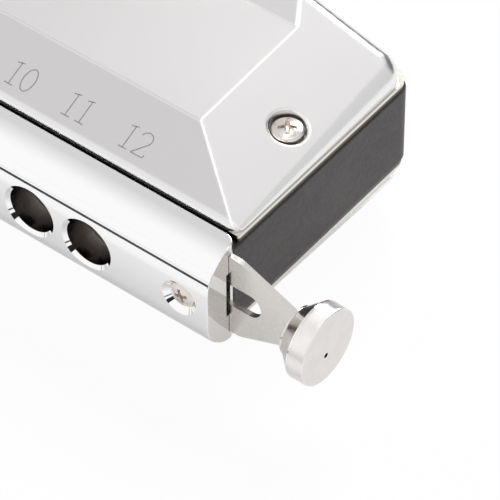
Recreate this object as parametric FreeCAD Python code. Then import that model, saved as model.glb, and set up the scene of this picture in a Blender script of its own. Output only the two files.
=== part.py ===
import FreeCAD, Part
import math
import os

# Twelve-hole chromatic harmonica with a slide and a push button, in millimetres.
# The origin is the centre of the comb's flat rear face. X runs along the instrument towards the button,
# Y points away from the player and Z is up. The lower half mirrors the upper half.

# Mouth holes
hole_count = 12
hole_pitch = 9.4
hole_dia = 7.1
hole_chamfer = 0.5

# Comb: moulded body with one blow cell and one draw cell above and below the middle web at each hole
comb_end_block = 19.1
comb_depth = 37.95
comb_height = 13.1
comb_front_corner_radius = 0.5
comb_rear_corner_radius = 2.3
comb_edge_radius = 0.45
comb_web = 1.2
comb_front_wall = 1.5
cell_wall = 1.2
comb_rear_wall = 4.45
shortest_cell = 18.5
port_width = 4.0
port_height = 4.0
port_from_web = 0.35

# Reed plates
plate_thickness = 1.05
plate_end_inset = 0.22
plate_front_setback = 1.5
plate_rear_setback = 0.3
plate_front_corner_radius = 0.4
plate_rear_corner_radius = 2.1

# Reeds, rivets and valves
reed_width = 2.1
reed_thickness = 0.2
reed_heel_thickness = 0.38
reed_heel_length = 2.4
reed_side_gap = 0.1
reed_tip_gap = 0.25
longest_reed = 20.0
shortest_reed = 9.5
reed_front_setback = 4.8
rivet_dia = 1.0
rivet_head_dia = 1.5
rivet_head_height = 0.28
valve_width = 2.9
valve_thickness = 0.12
valve_glue_length = 0.7
valve_short_share = 0.62

# Reed plate screws
plate_screw_dia = 1.4
plate_screw_head_dia = 2.6
plate_screw_head_height = 0.6
plate_screw_depth = 3.2
plate_screw_slot = 0.4
plate_screw_end_inset = 8.8
plate_screw_front_inset = 4.9
plate_screw_cover_gap = 0.3
rear_screw_place_shares = (-0.75, -0.25, 0.25, 0.75)

# Slide assembly, from the comb forwards
backing_thickness = 0.5
slide_gap = 0.07
blade_thickness = 0.8
blade_over_comb = 0.25
blade_height_gap = 0.15
blade_window_margin = 0.15
blade_shoulder_run = 2.1
blade_shoulder_radius = 3.0
blade_taper_run = 8.6
blade_tail_half_height = 3.2
blade_tail_run = 3.0
blade_tail_inset = 0.1
blade_slot_half_height = 1.85
blade_slot_run = 7.8
blade_left_setback = 0.6
slide_travel = hole_pitch / 2

# Button
button_radius = 5.45
button_neck_radius = 3.4
button_neck_length = 0.3
button_cone_length = 2.4
button_rim_length = 2.38
button_edge = 0.15
button_pip_radius = 0.25
button_pip_depth = 0.35
button_pip_forward = 0.42
button_pip_down = 1.03

# Mouthpiece: profile with a flat nose, a round cheek, a sloping brow and lips that wrap over the slide
mouth_depth = 4.3
mouth_end_overhang = 0.47
mouth_lip_wall = 1.45
mouth_brow_run = 3.49
mouth_brow_rise = 3.14
mouth_cheek_radius = 5.0
mouth_lip_radius = 3.9
mouth_lip_overlap = 0.57
mouth_lip_corner_radius = 1.8
mouth_edge_radius = 0.15
mouth_pocket_half_height = 3.8
mouth_pocket_depth = 0.45
mouth_pocket_run = 7.6

# Mouthpiece screws with their soft bumpers
mouth_screw_from_hole = 15.0
mouth_screw_dia = 2.2
mouth_screw_head_dia = 3.7
mouth_screw_head_height = 1.5
mouth_screw_head_edge = 0.25
mouth_screw_depth = 9.0
mouth_dish_dia = 5.4
mouth_dish_depth = 0.8
mouth_seat_depth = 1.8
bumper_radius = 1.55
bumper_gap = 0.03

# Slide spring: wire torsion spring round a post in a pocket of the comb
spring_wire_dia = 0.7
spring_coil_radius = 2.2
spring_pitch = 1.2
spring_half_turns = 5
spring_from_hole = 10.8
spring_depth = 12.4
spring_fixed_leg = 9.0
spring_pocket_gap = 0.4
spring_hole_gap = 0.3
spring_post_gap = 0.4
spring_post_seat = 1.0

# Covers: sheet shells with a sloping front, a crown, a flared rear lip and a sloping facet at each end
sheet = 0.6
cover_end_inset = 0.36
cover_front_setback = 1.5
cover_rear_setback = 0.5
cover_front_rise = 0.7
crown_front_run = 9.6
crown_front_rise = 4.72
crown_rear_setback = 6.6
crown_rear_rise = 6.0
crown_lip_slope = 13.4
end_facet_front_rise = 0.52
end_facet_rear_rise = 2.96
end_facet_slope = 14.84
end_bend_front_radius = 0.5
end_bend_rear_radius = 2.7
cover_front_corner_radius = 1.5
cover_rear_corner_radius = 3.6
cover_bend_radius = 2.4
cover_foot_bend_radius = 0.45
cover_least_bend_radius = 0.1
cover_rear_wrap = 15.0
cover_opening_rise = 4.85

# Cover bolts and nuts, in stamped recesses at the middle of each end
bolt_from_hole = 13.68
bolt_behind_front = 18.27
bolt_dia = 2.3
bolt_head_dia = 4.38
bolt_head_height = 2.4
bolt_head_edge = 0.35
bolt_recess_dia = 5.0
bolt_recess_edge = 0.3
bolt_cross_turn = 38.0
nut_slot_width = 0.7
nut_slot_depth = 0.7

# Cross recesses in the screw heads, and what all parts share
cross_arm_share = 0.36
cross_span_share = 0.56
cross_depth_share = 0.45
fit_gap = 0.03
overrun = 2.0
stand_off = 0.02

# Sizes that follow
hole_span = (hole_count - 1) * hole_pitch
last_hole = hole_span / 2
comb_half = last_hole + comb_end_block
comb_front = -comb_depth
comb_top = comb_height / 2
web_top = comb_web / 2
cell_pitch = hole_pitch / 2
cell_width = cell_pitch - cell_wall
cell_front = comb_front + comb_front_wall
longest_cell = comb_depth - comb_front_wall - comb_rear_wall
plate_top = comb_top + plate_thickness
plate_half = comb_half - plate_end_inset
plate_front = comb_front + plate_front_setback
plate_rear = -plate_rear_setback
blade_half_height = comb_top + blade_over_comb
backing_front = comb_front - backing_thickness
blade_rear = backing_front - slide_gap
blade_front = blade_rear - blade_thickness
blade_middle = (blade_front + blade_rear) / 2
mouth_back = blade_front - slide_gap
mouth_front = mouth_back - mouth_depth
mouth_half = comb_half + mouth_end_overhang
mouth_rear = comb_front + mouth_lip_overlap
channel_half_height = blade_half_height + blade_height_gap
mouth_half_height = channel_half_height + mouth_lip_wall
mouth_screw_x = last_hole + mouth_screw_from_hole
port_low = web_top + port_from_web
port_high = port_low + port_height
reed_front = comb_front + reed_front_setback
rivet_setback = reed_heel_length / 2 + reed_tip_gap
cover_half = comb_half - cover_end_inset
cover_front = comb_front + cover_front_setback
cover_rear = -cover_rear_setback
cover_run = cover_rear - cover_front
cover_top = (plate_top + crown_rear_rise
             + crown_rear_setback * math.tan(math.radians(crown_lip_slope)))
bolt_x = last_hole + bolt_from_hole
bolt_y = comb_front + bolt_behind_front
recess_floor = plate_top + sheet
head_top = recess_floor + bolt_head_height
spring_x = last_hole + spring_from_hole
spring_centre = FreeCAD.Vector(spring_x - spring_coil_radius, comb_front + spring_depth, 0)
spring_rise = spring_pitch * spring_half_turns / 2
spring_leg_z = -spring_rise / 2
spring_post_radius = spring_coil_radius - spring_wire_dia / 2 - spring_post_gap
pocket_half_height = spring_rise / 2 + spring_wire_dia / 2 + spring_pocket_gap
pocket_half_width = spring_coil_radius + spring_wire_dia / 2 + spring_pocket_gap

X = FreeCAD.Vector(1, 0, 0)
Y = FreeCAD.Vector(0, 1, 0)
Z = FreeCAD.Vector(0, 0, 1)
CENTRE = FreeCAD.Vector(0, 0, 0)


def vec(x, y, z):
    return FreeCAD.Vector(x, y, z)


def box(x0, x1, y0, y1, z0, z1):
    """Box between two corners."""
    return Part.makeBox(x1 - x0, y1 - y0, z1 - z0, vec(x0, y0, z0))


def rod(radius, start, end):
    """Round bar from start to end."""
    run = end - start
    return Part.makeCylinder(radius, run.Length, start, run)


def extruded(points, direction):
    """Prism of the closed polygon through the points."""
    return Part.Face(Part.makePolygon(points + [points[0]])).extrude(direction)


def slot_bar(x0, x1, half_height, y0, y1, middle=0):
    """Bar along Y whose section is a slot with round ends centred at x0 and x1."""
    ends = [rod(half_height, vec(x, y0, middle), vec(x, y1, middle)) for x in (x0, x1)]
    straight = box(x0, x1, y0, y1, middle - half_height, middle + half_height)
    return straight.fuse(ends).removeSplitter()


def lower(shape):
    """The same piece in the lower half."""
    return shape.mirror(CENTRE, Z)


def left(shape):
    """The same piece at the other end."""
    return shape.mirror(CENTRE, X)


def group(solids):
    return Part.makeCompound(solids)


def export(node, shape):
    shape.exportStep("parts/" + node + ".step")
    print(node, len(shape.Solids), "solid(s)", round(shape.Volume, 2), "mm3", shape.isValid())


def hole_x(index):
    """Centre of a mouth hole, counted from 0 at the end away from the button."""
    return -last_hole + index * hole_pitch


def graded(longest, shortest, index):
    """Length that shrinks evenly from the first hole to the last."""
    return longest + (shortest - longest) * index / (hole_count - 1)


def blow_x(index):
    return hole_x(index) - cell_pitch / 2


def draw_x(index):
    return hole_x(index) + cell_pitch / 2


def slot_length(index):
    return graded(longest_reed, shortest_reed, index) + reed_tip_gap


# Comb

def plate_screw_places():
    """Places of the screws of one reed plate: one near each corner and a row along the rear."""
    corner_x = comb_half - plate_screw_end_inset
    rear_y = cover_rear - sheet - plate_screw_cover_gap - plate_screw_head_dia / 2
    corners = [(side * corner_x, y) for side in (-1, 1)
               for y in (comb_front + plate_screw_front_inset, rear_y)]
    return corners + [(share * last_hole, rear_y) for share in rear_screw_place_shares]


def plan_wire(half_length, y0, y1, z, front_radius, rear_radius):
    """Level rectangle with round corners, from y0 at the front to y1 at the rear."""
    edges = []
    corners = [(-half_length, y0, -1, -1, front_radius), (half_length, y0, 1, -1, front_radius),
               (half_length, y1, 1, 1, rear_radius), (-half_length, y1, -1, 1, rear_radius)]
    arcs = []
    for x, y, side, way, radius in corners:
        centre = vec(x - side * radius, y - way * radius, z)
        diagonal = centre + vec(side, way, 0).normalize() * radius
        ends = [vec(centre.x, y, z), vec(x, centre.y, z)]
        if side * way > 0:
            ends.reverse()
        arcs.append((ends, Part.Arc(ends[0], diagonal, ends[1]).toShape()))
    for (ends, arc), (next_ends, _) in zip(arcs, arcs[1:] + arcs[:1]):
        edges += [arc, Part.makeLine(ends[1], next_ends[0])]
    return Part.Wire(edges)


def slab(half_length, y0, y1, z0, z1, front_radius, rear_radius):
    """Slab with round upright edges."""
    return Part.Face(plan_wire(half_length, y0, y1, z0, front_radius, rear_radius)).extrude(Z * (z1 - z0))


def upper_cells():
    """Cells and front ports of the upper half, one blow cell and one draw cell at each hole."""
    cuts = []
    for index in range(hole_count):
        length = graded(longest_cell, shortest_cell, index)
        for x in (blow_x(index), draw_x(index)):
            cuts.append(box(x - cell_width / 2, x + cell_width / 2, cell_front, cell_front + length,
                            web_top, comb_top + overrun))
        x = hole_x(index)
        cuts.append(box(x - port_width / 2, x + port_width / 2, comb_front - overrun, cell_front,
                        port_low, port_high))
    return cuts


def spring_pocket():
    """Pocket for the spring, open at the front of the comb, with seats for its post."""
    reach = spring_centre.y + pocket_half_width
    pocket = box(spring_centre.x - pocket_half_width, spring_centre.x + pocket_half_width,
                 comb_front - overrun, reach, -pocket_half_height, pocket_half_height)
    seat = pocket_half_height + spring_post_seat
    radius = spring_post_radius + fit_gap
    hole = rod(radius, spring_centre - Z * seat, spring_centre + Z * seat)
    return [pocket, hole]


def make_comb():
    body = slab(comb_half, comb_front, 0, -comb_top, comb_top,
                comb_front_corner_radius, comb_rear_corner_radius)
    rim = [e for e in body.Edges
           if abs(abs(e.CenterOfMass.z) - comb_top) < stand_off and e.CenterOfMass.y > comb_front + stand_off]
    body = body.makeFillet(comb_edge_radius, rim)
    cells = upper_cells()
    cuts = cells + [lower(cell) for cell in cells] + spring_pocket()
    screw_reach = comb_front + mouth_screw_depth
    for side in (-1, 1):
        x = side * mouth_screw_x
        cuts.append(rod(mouth_screw_dia / 2 + fit_gap, vec(x, comb_front - overrun, 0),
                        vec(x, screw_reach, 0)))
        x = side * bolt_x
        cuts.append(rod(bolt_dia / 2 + fit_gap, vec(x, bolt_y, -comb_height), vec(x, bolt_y, comb_height)))
    for x, y in plate_screw_places():
        hole = rod(plate_screw_dia / 2 + fit_gap, vec(x, y, comb_top - plate_screw_depth),
                   vec(x, y, comb_height))
        cuts += [hole, lower(hole)]
    return body.cut(cuts)


# Reed plates with their reeds, rivets and valves

def make_plate():
    """Upper reed plate: brass slab with one slot for each reed."""
    plate = slab(plate_half, plate_front, plate_rear, comb_top, plate_top,
                 plate_front_corner_radius, plate_rear_corner_radius)
    low = comb_top - overrun
    high = plate_top + overrun
    half_slot = reed_width / 2 + reed_side_gap
    cuts = []
    for index in range(hole_count):
        end = reed_front + slot_length(index)
        for x, rivet_y in ((blow_x(index), reed_front - rivet_setback), (draw_x(index), end + rivet_setback)):
            cuts.append(box(x - half_slot, x + half_slot, reed_front, end, low, high))
            cuts.append(rod(rivet_dia / 2 + fit_gap, vec(x, rivet_y, low), vec(x, rivet_y, high)))
    for x, y in plate_screw_places():
        cuts.append(rod(plate_screw_dia / 2 + fit_gap, vec(x, y, low), vec(x, y, high)))
    for side in (-1, 1):
        x = side * bolt_x
        cuts.append(rod(bolt_dia / 2 + fit_gap, vec(x, bolt_y, low), vec(x, bolt_y, high)))
    return plate.cut(cuts)


def reed(x, heel_y, away, length, face, out):
    """Reed of a given length on a plate face: a thick heel with a rivet hole, then a thin tongue.

    away is +1 or -1 along Y from heel to tip, and out is the side of the plate that the reed lies on.
    """
    half = reed_width / 2
    heel_start = heel_y - away * reed_heel_length
    tip = heel_y + away * length
    heel = box(x - half, x + half, min(heel_start, heel_y), max(heel_start, heel_y),
               min(face, face + out * reed_heel_thickness), max(face, face + out * reed_heel_thickness))
    tongue = box(x - half, x + half, min(heel_y, tip), max(heel_y, tip),
                 min(face, face + out * reed_thickness), max(face, face + out * reed_thickness))
    rivet_y = heel_y - away * rivet_setback
    hole = rod(rivet_dia / 2 + fit_gap, vec(x, rivet_y, face - overrun), vec(x, rivet_y, face + overrun))
    return heel.fuse(tongue).cut(hole)


def make_blow_reeds():
    """Upper blow reeds, under the plate, with their heels at the front."""
    return [reed(blow_x(i), reed_front, 1, graded(longest_reed, shortest_reed, i), comb_top, -1)
            for i in range(hole_count)]


def make_draw_reeds():
    """Upper draw reeds, on top of the plate, with their heels at the rear."""
    return [reed(draw_x(i), reed_front + slot_length(i), -1, graded(longest_reed, shortest_reed, i),
                 plate_top, 1)
            for i in range(hole_count)]


def rivet(x, y, low, high):
    """Rivet with a flat head at each end of its shank."""
    shank = rod(rivet_dia / 2, vec(x, y, low - rivet_head_height), vec(x, y, high + rivet_head_height))
    heads = [rod(rivet_head_dia / 2, vec(x, y, z), vec(x, y, z + side * rivet_head_height))
             for z, side in ((low, -1), (high, 1))]
    return shank.fuse(heads).removeSplitter()


def make_rivets():
    rivets = []
    for index in range(hole_count):
        end = reed_front + slot_length(index)
        rivets.append(rivet(blow_x(index), reed_front - rivet_setback, comb_top - reed_heel_thickness,
                            plate_top))
        rivets.append(rivet(draw_x(index), end + rivet_setback, comb_top, plate_top + reed_heel_thickness))
    return rivets


def valve(x, glued_y, tip_y, face, out):
    """Valve of two plastic strips over a slot: a long one on the plate and a shorter one on top of it."""
    half = valve_width / 2
    middle_y = glued_y + (tip_y - glued_y) * valve_short_share
    layers = []
    for end_y, level in ((tip_y, 0), (middle_y, 1)):
        z = face + out * level * valve_thickness
        layers.append(box(x - half, x + half, min(glued_y, end_y), max(glued_y, end_y),
                          min(z, z + out * valve_thickness), max(z, z + out * valve_thickness)))
    return layers[0].fuse(layers[1])


def make_outer_valves():
    """Valves on top of the upper plate, over the blow slots."""
    return [valve(blow_x(i), reed_front - valve_glue_length, reed_front + slot_length(i), plate_top, 1)
            for i in range(hole_count)]


def make_inner_valves():
    """Valves under the upper plate, over the draw slots."""
    return [valve(draw_x(i), reed_front + slot_length(i) + valve_glue_length, reed_front, comb_top, -1)
            for i in range(hole_count)]


def make_plate_screws():
    """Slotted screws of the upper reed plate."""
    screws = []
    head_radius = plate_screw_head_dia / 2
    for x, y in plate_screw_places():
        top = plate_top + plate_screw_head_height
        head = rod(head_radius, vec(x, y, plate_top), vec(x, y, top))
        shank = rod(plate_screw_dia / 2, vec(x, y, comb_top - plate_screw_depth), vec(x, y, plate_top))
        slot = box(x - head_radius, x + head_radius, y - plate_screw_slot / 2, y + plate_screw_slot / 2,
                   top - plate_screw_head_height / 2, top + overrun)
        screws.append(head.fuse(shank).cut(slot))
    return screws


# Slide assembly

def ports(y0, y1, margin, shift):
    """Windows that match the comb's ports: the upper ones over the holes, the lower ones shifted along X."""
    cuts = []
    for index in range(hole_count):
        for side, offset in ((1, 0), (-1, shift)):
            x = hole_x(index) + offset
            z = sorted((side * (port_low - margin), side * (port_high + margin)))
            half = port_width / 2 + margin
            cuts.append(box(x - half, x + half, y0, y1, z[0], z[1]))
    return cuts


def make_backing():
    """Thin plate on the comb's front face that guides the blade and masks the ports."""
    plate = box(-comb_half, comb_half, backing_front, comb_front, -blade_half_height, blade_half_height)
    cuts = ports(backing_front - overrun, comb_front + overrun, 0, 0)
    reach = spring_wire_dia / 2 + spring_hole_gap
    cuts.append(slot_bar(spring_x - slide_travel, spring_x, reach, backing_front - overrun,
                         comb_front + overrun, spring_leg_z))
    for side in (-1, 1):
        x = side * mouth_screw_x
        cuts.append(rod(mouth_screw_dia / 2 + fit_gap, vec(x, backing_front - overrun, 0),
                        vec(x, comb_front, 0)))
    return plate.cut(cuts)


def blade_right_slot_end():
    return mouth_screw_x + blade_slot_run


def make_blade():
    """Slide blade: a strip with windows, a fork at the left screw, a slot at the right one and a tail."""
    shoulder = comb_half + blade_shoulder_run
    tail = shoulder + blade_taper_run
    end = tail + blade_tail_run
    start = -mouth_half + slide_travel + blade_left_setback
    inner_half = blade_tail_half_height - blade_tail_inset
    upper_edge = [(start, blade_half_height), (shoulder, blade_half_height), (tail, blade_tail_half_height),
                  (tail, inner_half), (end, inner_half)]
    outline = upper_edge + [(x, -z) for x, z in reversed(upper_edge)]
    strip = extruded([vec(x, blade_front, z) for x, z in outline], Y * blade_thickness)
    shoulders = [e for e in strip.Edges
                 if abs(e.CenterOfMass.x - shoulder) < stand_off
                 and abs(e.CenterOfMass.y - blade_middle) < stand_off
                 and abs(e.tangentAt(e.FirstParameter).y) > 1 - stand_off]
    strip = strip.makeFillet(blade_shoulder_radius, shoulders)
    y0 = blade_front - overrun
    y1 = blade_rear + overrun
    cuts = ports(y0, y1, blade_window_margin, slide_travel)
    cuts.append(slot_bar(mouth_screw_x, blade_right_slot_end(), blade_slot_half_height, y0, y1))
    cuts.append(slot_bar(start - overrun, -mouth_screw_x + slide_travel, blade_slot_half_height, y0, y1))
    cuts.append(rod(spring_wire_dia / 2 + spring_hole_gap, vec(spring_x, y0, spring_leg_z),
                    vec(spring_x, y1, spring_leg_z)))
    return strip.cut(cuts)


def make_button():
    """Turned knob: a short neck, a cone and a thick rim, with a lathe centre mark, slotted for the blade."""
    start = comb_half + blade_shoulder_run + blade_taper_run
    cone = start + button_neck_length
    rim = cone + button_cone_length
    face = rim + button_rim_length
    e = button_edge
    profile = [(start, 0), (start, button_neck_radius - e), (start + e, button_neck_radius),
               (cone, button_neck_radius), (rim - e, button_radius - e), (rim, button_radius),
               (face - e, button_radius),
               (face, button_radius - e), (face, 0)]
    knob = Part.Face(Part.makePolygon([vec(x, blade_middle, r) for x, r in profile + profile[:1]]))
    knob = knob.revolve(vec(0, blade_middle, 0), X, 360)
    inner_half = blade_tail_half_height - blade_tail_inset
    pocket = box(start, start + blade_tail_run, blade_front, blade_rear, -inner_half, inner_half)
    mark = vec(face, blade_middle - button_pip_forward, -button_pip_down)
    pip = Part.makeCone(button_pip_radius, 0, button_pip_depth, mark, -X)
    return knob.cut([pocket, pip])


# Mouthpiece

def rounded(points, radii):
    """Edges of an open outline through the points, with an arc of its own radius at each inner point."""
    edges = []
    start = points[0]
    for before, corner, after, radius in zip(points, points[1:], points[2:], radii):
        back = (before - corner).normalize()
        ahead = (after - corner).normalize()
        half = back.getAngle(ahead) / 2
        reach = radius / math.tan(half)
        arc_start = corner + back * reach
        arc_end = corner + ahead * reach
        middle = corner + (back + ahead).normalize() * (radius / math.sin(half) - radius)
        edges += [Part.makeLine(start, arc_start), Part.Arc(arc_start, middle, arc_end).toShape()]
        start = arc_end
    return edges + [Part.makeLine(start, points[-1])]


def mouth_profile():
    """Upper half of the outer profile in the plane X = -mouth_half: nose, cheek, brow, lip and flat top."""
    x = -mouth_half
    outline = [vec(x, mouth_front, 0), vec(x, mouth_front, mouth_half_height - mouth_brow_rise),
               vec(x, mouth_front + mouth_brow_run, mouth_half_height), vec(x, mouth_rear, mouth_half_height)]
    foot = vec(x, mouth_rear, 0)
    back = [Part.makeLine(outline[-1], foot), Part.makeLine(foot, outline[0])]
    return rounded(outline, (mouth_cheek_radius, mouth_lip_radius)) + back


def mouth_screw_cut(x):
    """Dished hole for a mouthpiece screw: a cone, a flat-bottomed seat and a clearance hole."""
    dish = Part.makeCone(mouth_dish_dia / 2, mouth_screw_head_dia / 2 + fit_gap, mouth_dish_depth,
                         vec(x, mouth_front, 0), Y)
    seat = rod(mouth_screw_head_dia / 2 + fit_gap, vec(x, mouth_front, 0),
               vec(x, mouth_front + mouth_seat_depth, 0))
    through = rod(mouth_screw_dia / 2 + fit_gap, vec(x, mouth_front, 0), vec(x, mouth_back + overrun, 0))
    return [dish, seat, through]


def make_mouthpiece():
    upper = Part.Face(Part.Wire(mouth_profile())).extrude(X * (mouth_half * 2))
    corners = [e for e in upper.Edges
               if abs(e.CenterOfMass.y - mouth_rear) < stand_off
               and abs(e.tangentAt(e.FirstParameter).z) > 1 - stand_off]
    upper = upper.makeFillet(mouth_lip_corner_radius, corners)
    rim = [e for e in upper.Edges if e.CenterOfMass.z > stand_off
           and (abs(abs(e.CenterOfMass.x) - mouth_half) < stand_off
                or e.CenterOfMass.y > mouth_back and e.CenterOfMass.z > mouth_half_height - stand_off)
           and abs(e.tangentAt(e.FirstParameter).z) < 1 - stand_off]
    upper = upper.makeFillet(mouth_edge_radius, rim)
    bar = upper.fuse(lower(upper)).removeSplitter()
    cuts = [box(-mouth_half - overrun, mouth_half + overrun, mouth_back, 0,
                -channel_half_height, channel_half_height)]
    for side in (-1, 1):
        inner, outer = sorted((side * (mouth_half - mouth_pocket_run), side * (mouth_half + overrun)))
        cuts.append(box(inner, outer, mouth_back - mouth_pocket_depth, 0,
                        -mouth_pocket_half_height, mouth_pocket_half_height))
        cuts += mouth_screw_cut(side * mouth_screw_x)
    for index in range(hole_count):
        x = hole_x(index)
        radius = hole_dia / 2
        cuts.append(rod(radius, vec(x, mouth_front - overrun, 0), vec(x, mouth_back + overrun, 0)))
        cuts.append(Part.makeCone(radius + hole_chamfer, radius, hole_chamfer, vec(x, mouth_front, 0), Y))
    return bar.cut(cuts)


def cross_recess(radius, depth, centre, axis, turned=0):
    """Cross recess of a screw head: two crossed wedges that narrow with depth."""
    arms = []
    half = radius * cross_arm_share / 2
    span = radius * cross_span_share
    for turn in (turned, turned + 90):
        top = Part.makePolygon([vec(-span, -half, 0), vec(span, -half, 0), vec(span, half, 0),
                                vec(-span, half, 0), vec(-span, -half, 0)])
        low = Part.makePolygon([vec(-half, -half / 2, -depth), vec(half, -half / 2, -depth),
                                vec(half, half / 2, -depth), vec(-half, half / 2, -depth),
                                vec(-half, -half / 2, -depth)])
        arm = Part.makeLoft([top, low], True, True)
        arms.append(arm.rotate(CENTRE, Z, turn))
    cross = arms[0].fuse(arms[1])
    cross.Placement = FreeCAD.Placement(centre, FreeCAD.Rotation(Z, axis)).multiply(cross.Placement)
    return cross


def make_mouth_screw():
    """Right-hand mouthpiece screw, with its head in the dish."""
    x = mouth_screw_x
    seat = mouth_front + mouth_seat_depth
    front = seat - mouth_screw_head_height
    head = rod(mouth_screw_head_dia / 2, vec(x, seat, 0), vec(x, front, 0))
    edge = [e for e in head.Edges if abs(e.CenterOfMass.y - front) < stand_off]
    head = head.makeFillet(mouth_screw_head_edge, edge)
    shank = rod(mouth_screw_dia / 2, vec(x, seat, 0), vec(x, comb_front + mouth_screw_depth, 0))
    recess = cross_recess(mouth_screw_head_dia / 2, mouth_screw_head_height * cross_depth_share,
                          vec(x, front, 0), -Y)
    return head.fuse(shank).cut(recess)


def make_bumper():
    """Soft sleeve round the right-hand mouthpiece screw, in the slot of the blade."""
    x = mouth_screw_x
    y0 = mouth_back - mouth_pocket_depth + bumper_gap
    y1 = backing_front - bumper_gap
    sleeve = rod(bumper_radius, vec(x, y0, 0), vec(x, y1, 0))
    return sleeve.cut(rod(mouth_screw_dia / 2 + fit_gap, vec(x, y0 - overrun, 0), vec(x, y1 + overrun, 0)))


# Slide spring

def arc_through(start, tangent, end):
    """Arc that leaves start along the tangent and ends at end."""
    chord = end - start
    along = tangent.dot(chord) / chord.Length
    side = tangent - chord * (along / chord.Length)
    bulge = chord.Length / 2 * math.tan(math.acos(max(-1, min(1, along))) / 2)
    middle = (start + end) * 0.5 + side * (bulge / side.Length)
    return Part.Arc(start, middle, end).toShape()


def biarc(start, start_tangent, end, end_tangent):
    """Two arcs that join two points smoothly along their tangents."""
    chord = end - start
    both = start_tangent + end_tangent
    spread = 2 * (1 - start_tangent.dot(end_tangent))
    along = chord.dot(both)
    reach = (math.sqrt(along * along + spread * chord.dot(chord)) - along) / spread
    joint = (start + start_tangent * reach + end - end_tangent * reach) * 0.5
    middle_tangent = (end - end_tangent * reach - start - start_tangent * reach).normalize()
    return [arc_through(start, start_tangent, joint), arc_through(joint, middle_tangent, end)]


def coil_point(angle, climb):
    """Point of the coil's centre line and its tangent, for a given climb in a whole turn."""
    turn = 2 * math.pi * spring_coil_radius
    point = spring_centre + vec(spring_coil_radius * math.cos(angle), spring_coil_radius * math.sin(angle),
                                spring_pitch * angle / (2 * math.pi) - spring_rise / 2)
    return point, vec(-math.sin(angle), math.cos(angle), climb / turn).normalize()


def make_spring():
    """Spring wire: a level leg to the blade, the coil in quarter turns, then a level leg in the pocket."""
    quarters = spring_half_turns * 2
    places = [coil_point(step * math.pi / 2, 0 if step in (0, quarters) else spring_pitch)
              for step in range(quarters + 1)]
    first, first_tangent = places[0]
    last, last_tangent = places[-1]
    tip = first - first_tangent * (first.y - blade_rear + blade_thickness / 2)
    fixed_end = last + last_tangent * spring_fixed_leg
    edges = [Part.makeLine(tip, first)]
    for (a, ta), (b, tb) in zip(places, places[1:]):
        edges += biarc(a, ta, b, tb)
    edges.append(Part.makeLine(last, fixed_end))
    path = Part.Wire(edges)
    section = Part.Wire(Part.makeCircle(spring_wire_dia / 2, tip, first_tangent))
    wire = path.makePipeShell([section], True, False)
    points = path.discretize(Distance=spring_wire_dia / 4)
    near = math.pi * spring_wire_dia
    step = path.Length / (len(points) - 1)
    gap = min(a.distanceToPoint(b) for i, a in enumerate(points)
              for j, b in enumerate(points) if (j - i) * step > near) - spring_wire_dia
    share = wire.Volume / (math.pi * (spring_wire_dia / 2) ** 2 * path.Length)
    print("spring: least gap between turns", round(gap, 3), "volume share", round(share, 4))
    return wire


def make_spring_post():
    seat = pocket_half_height + spring_post_seat
    return rod(spring_post_radius, spring_centre - Z * seat, spring_centre + Z * seat)


# Covers

def end_section(share, inset):
    """Section of the space inside both ends of the cover, at a share of the way from its front to its rear.

    The upright end wall bends into the sloping facet, and the two facets meet high above the middle.
    """
    slope = math.radians(end_facet_slope)
    rise = end_facet_front_rise + (end_facet_rear_rise - end_facet_front_rise) * share
    radius = end_bend_front_radius + (end_bend_rear_radius - end_bend_front_radius) * share - inset
    radius = max(radius, cover_least_bend_radius)
    along_slope = (end_facet_rear_rise - end_facet_front_rise) / cover_run
    stretch = math.sqrt(1 + math.tan(slope) ** 2 + along_slope ** 2)
    y = cover_front + cover_run * share
    half = cover_half - inset
    corner = plate_top + rise + inset * (math.tan(slope) - stretch)
    turn = math.pi / 2 - slope
    run = radius * math.tan(turn / 2)
    wall_end = (half, corner - run)
    facet_start = (half - run * math.cos(slope), corner + run * math.sin(slope))
    middle = (half - radius + radius * math.cos(turn / 2), corner - run + radius * math.sin(turn / 2))
    peak = vec(0, y, corner + half * math.tan(slope))

    def at(point, side):
        return vec(side * point[0], y, point[1])

    edges = [Part.makeLine(at((half, 0), 1), at(wall_end, 1)),
             Part.Arc(at(wall_end, 1), at(middle, 1), at(facet_start, 1)).toShape(),
             Part.makeLine(at(facet_start, 1), peak),
             Part.makeLine(peak, at(facet_start, -1)),
             Part.Arc(at(facet_start, -1), at(middle, -1), at(wall_end, -1)).toShape(),
             Part.makeLine(at(wall_end, -1), at((half, 0), -1)),
             Part.makeLine(at((half, 0), -1), at((half, 0), 1))]
    return Part.Wire(edges)


def cover_side(inset):
    """Points of the cover's outline in the YZ plane, front to rear, moved inwards by the inset."""
    points = [(cover_front, plate_top), (cover_front, plate_top + cover_front_rise),
              (cover_front + crown_front_run, plate_top + crown_front_rise),
              (cover_rear - crown_rear_setback, plate_top + crown_rear_rise), (cover_rear, cover_top)]
    lines = []
    for (y0, z0), (y1, z1) in zip(points, points[1:]):
        length = math.hypot(y1 - y0, z1 - z0)
        out_y, out_z = -(z1 - z0) / length, (y1 - y0) / length
        lines.append((y0 - out_y * inset, z0 - out_z * inset, (y1 - y0) / length, (z1 - z0) / length))
    moved = [(cover_front + inset, 0)]
    for (ya, za, uy, uz), (yb, zb, wy, wz) in zip(lines, lines[1:]):
        step = ((yb - ya) * wz - (zb - za) * wy) / (uy * wz - uz * wy)
        moved.append((ya + uy * step, za + uz * step))
    ya, za, uy, uz = lines[-1]
    rear = cover_rear - inset
    return moved + [(rear, za + uz * (rear - ya) / uy), (rear, 0)]


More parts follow.
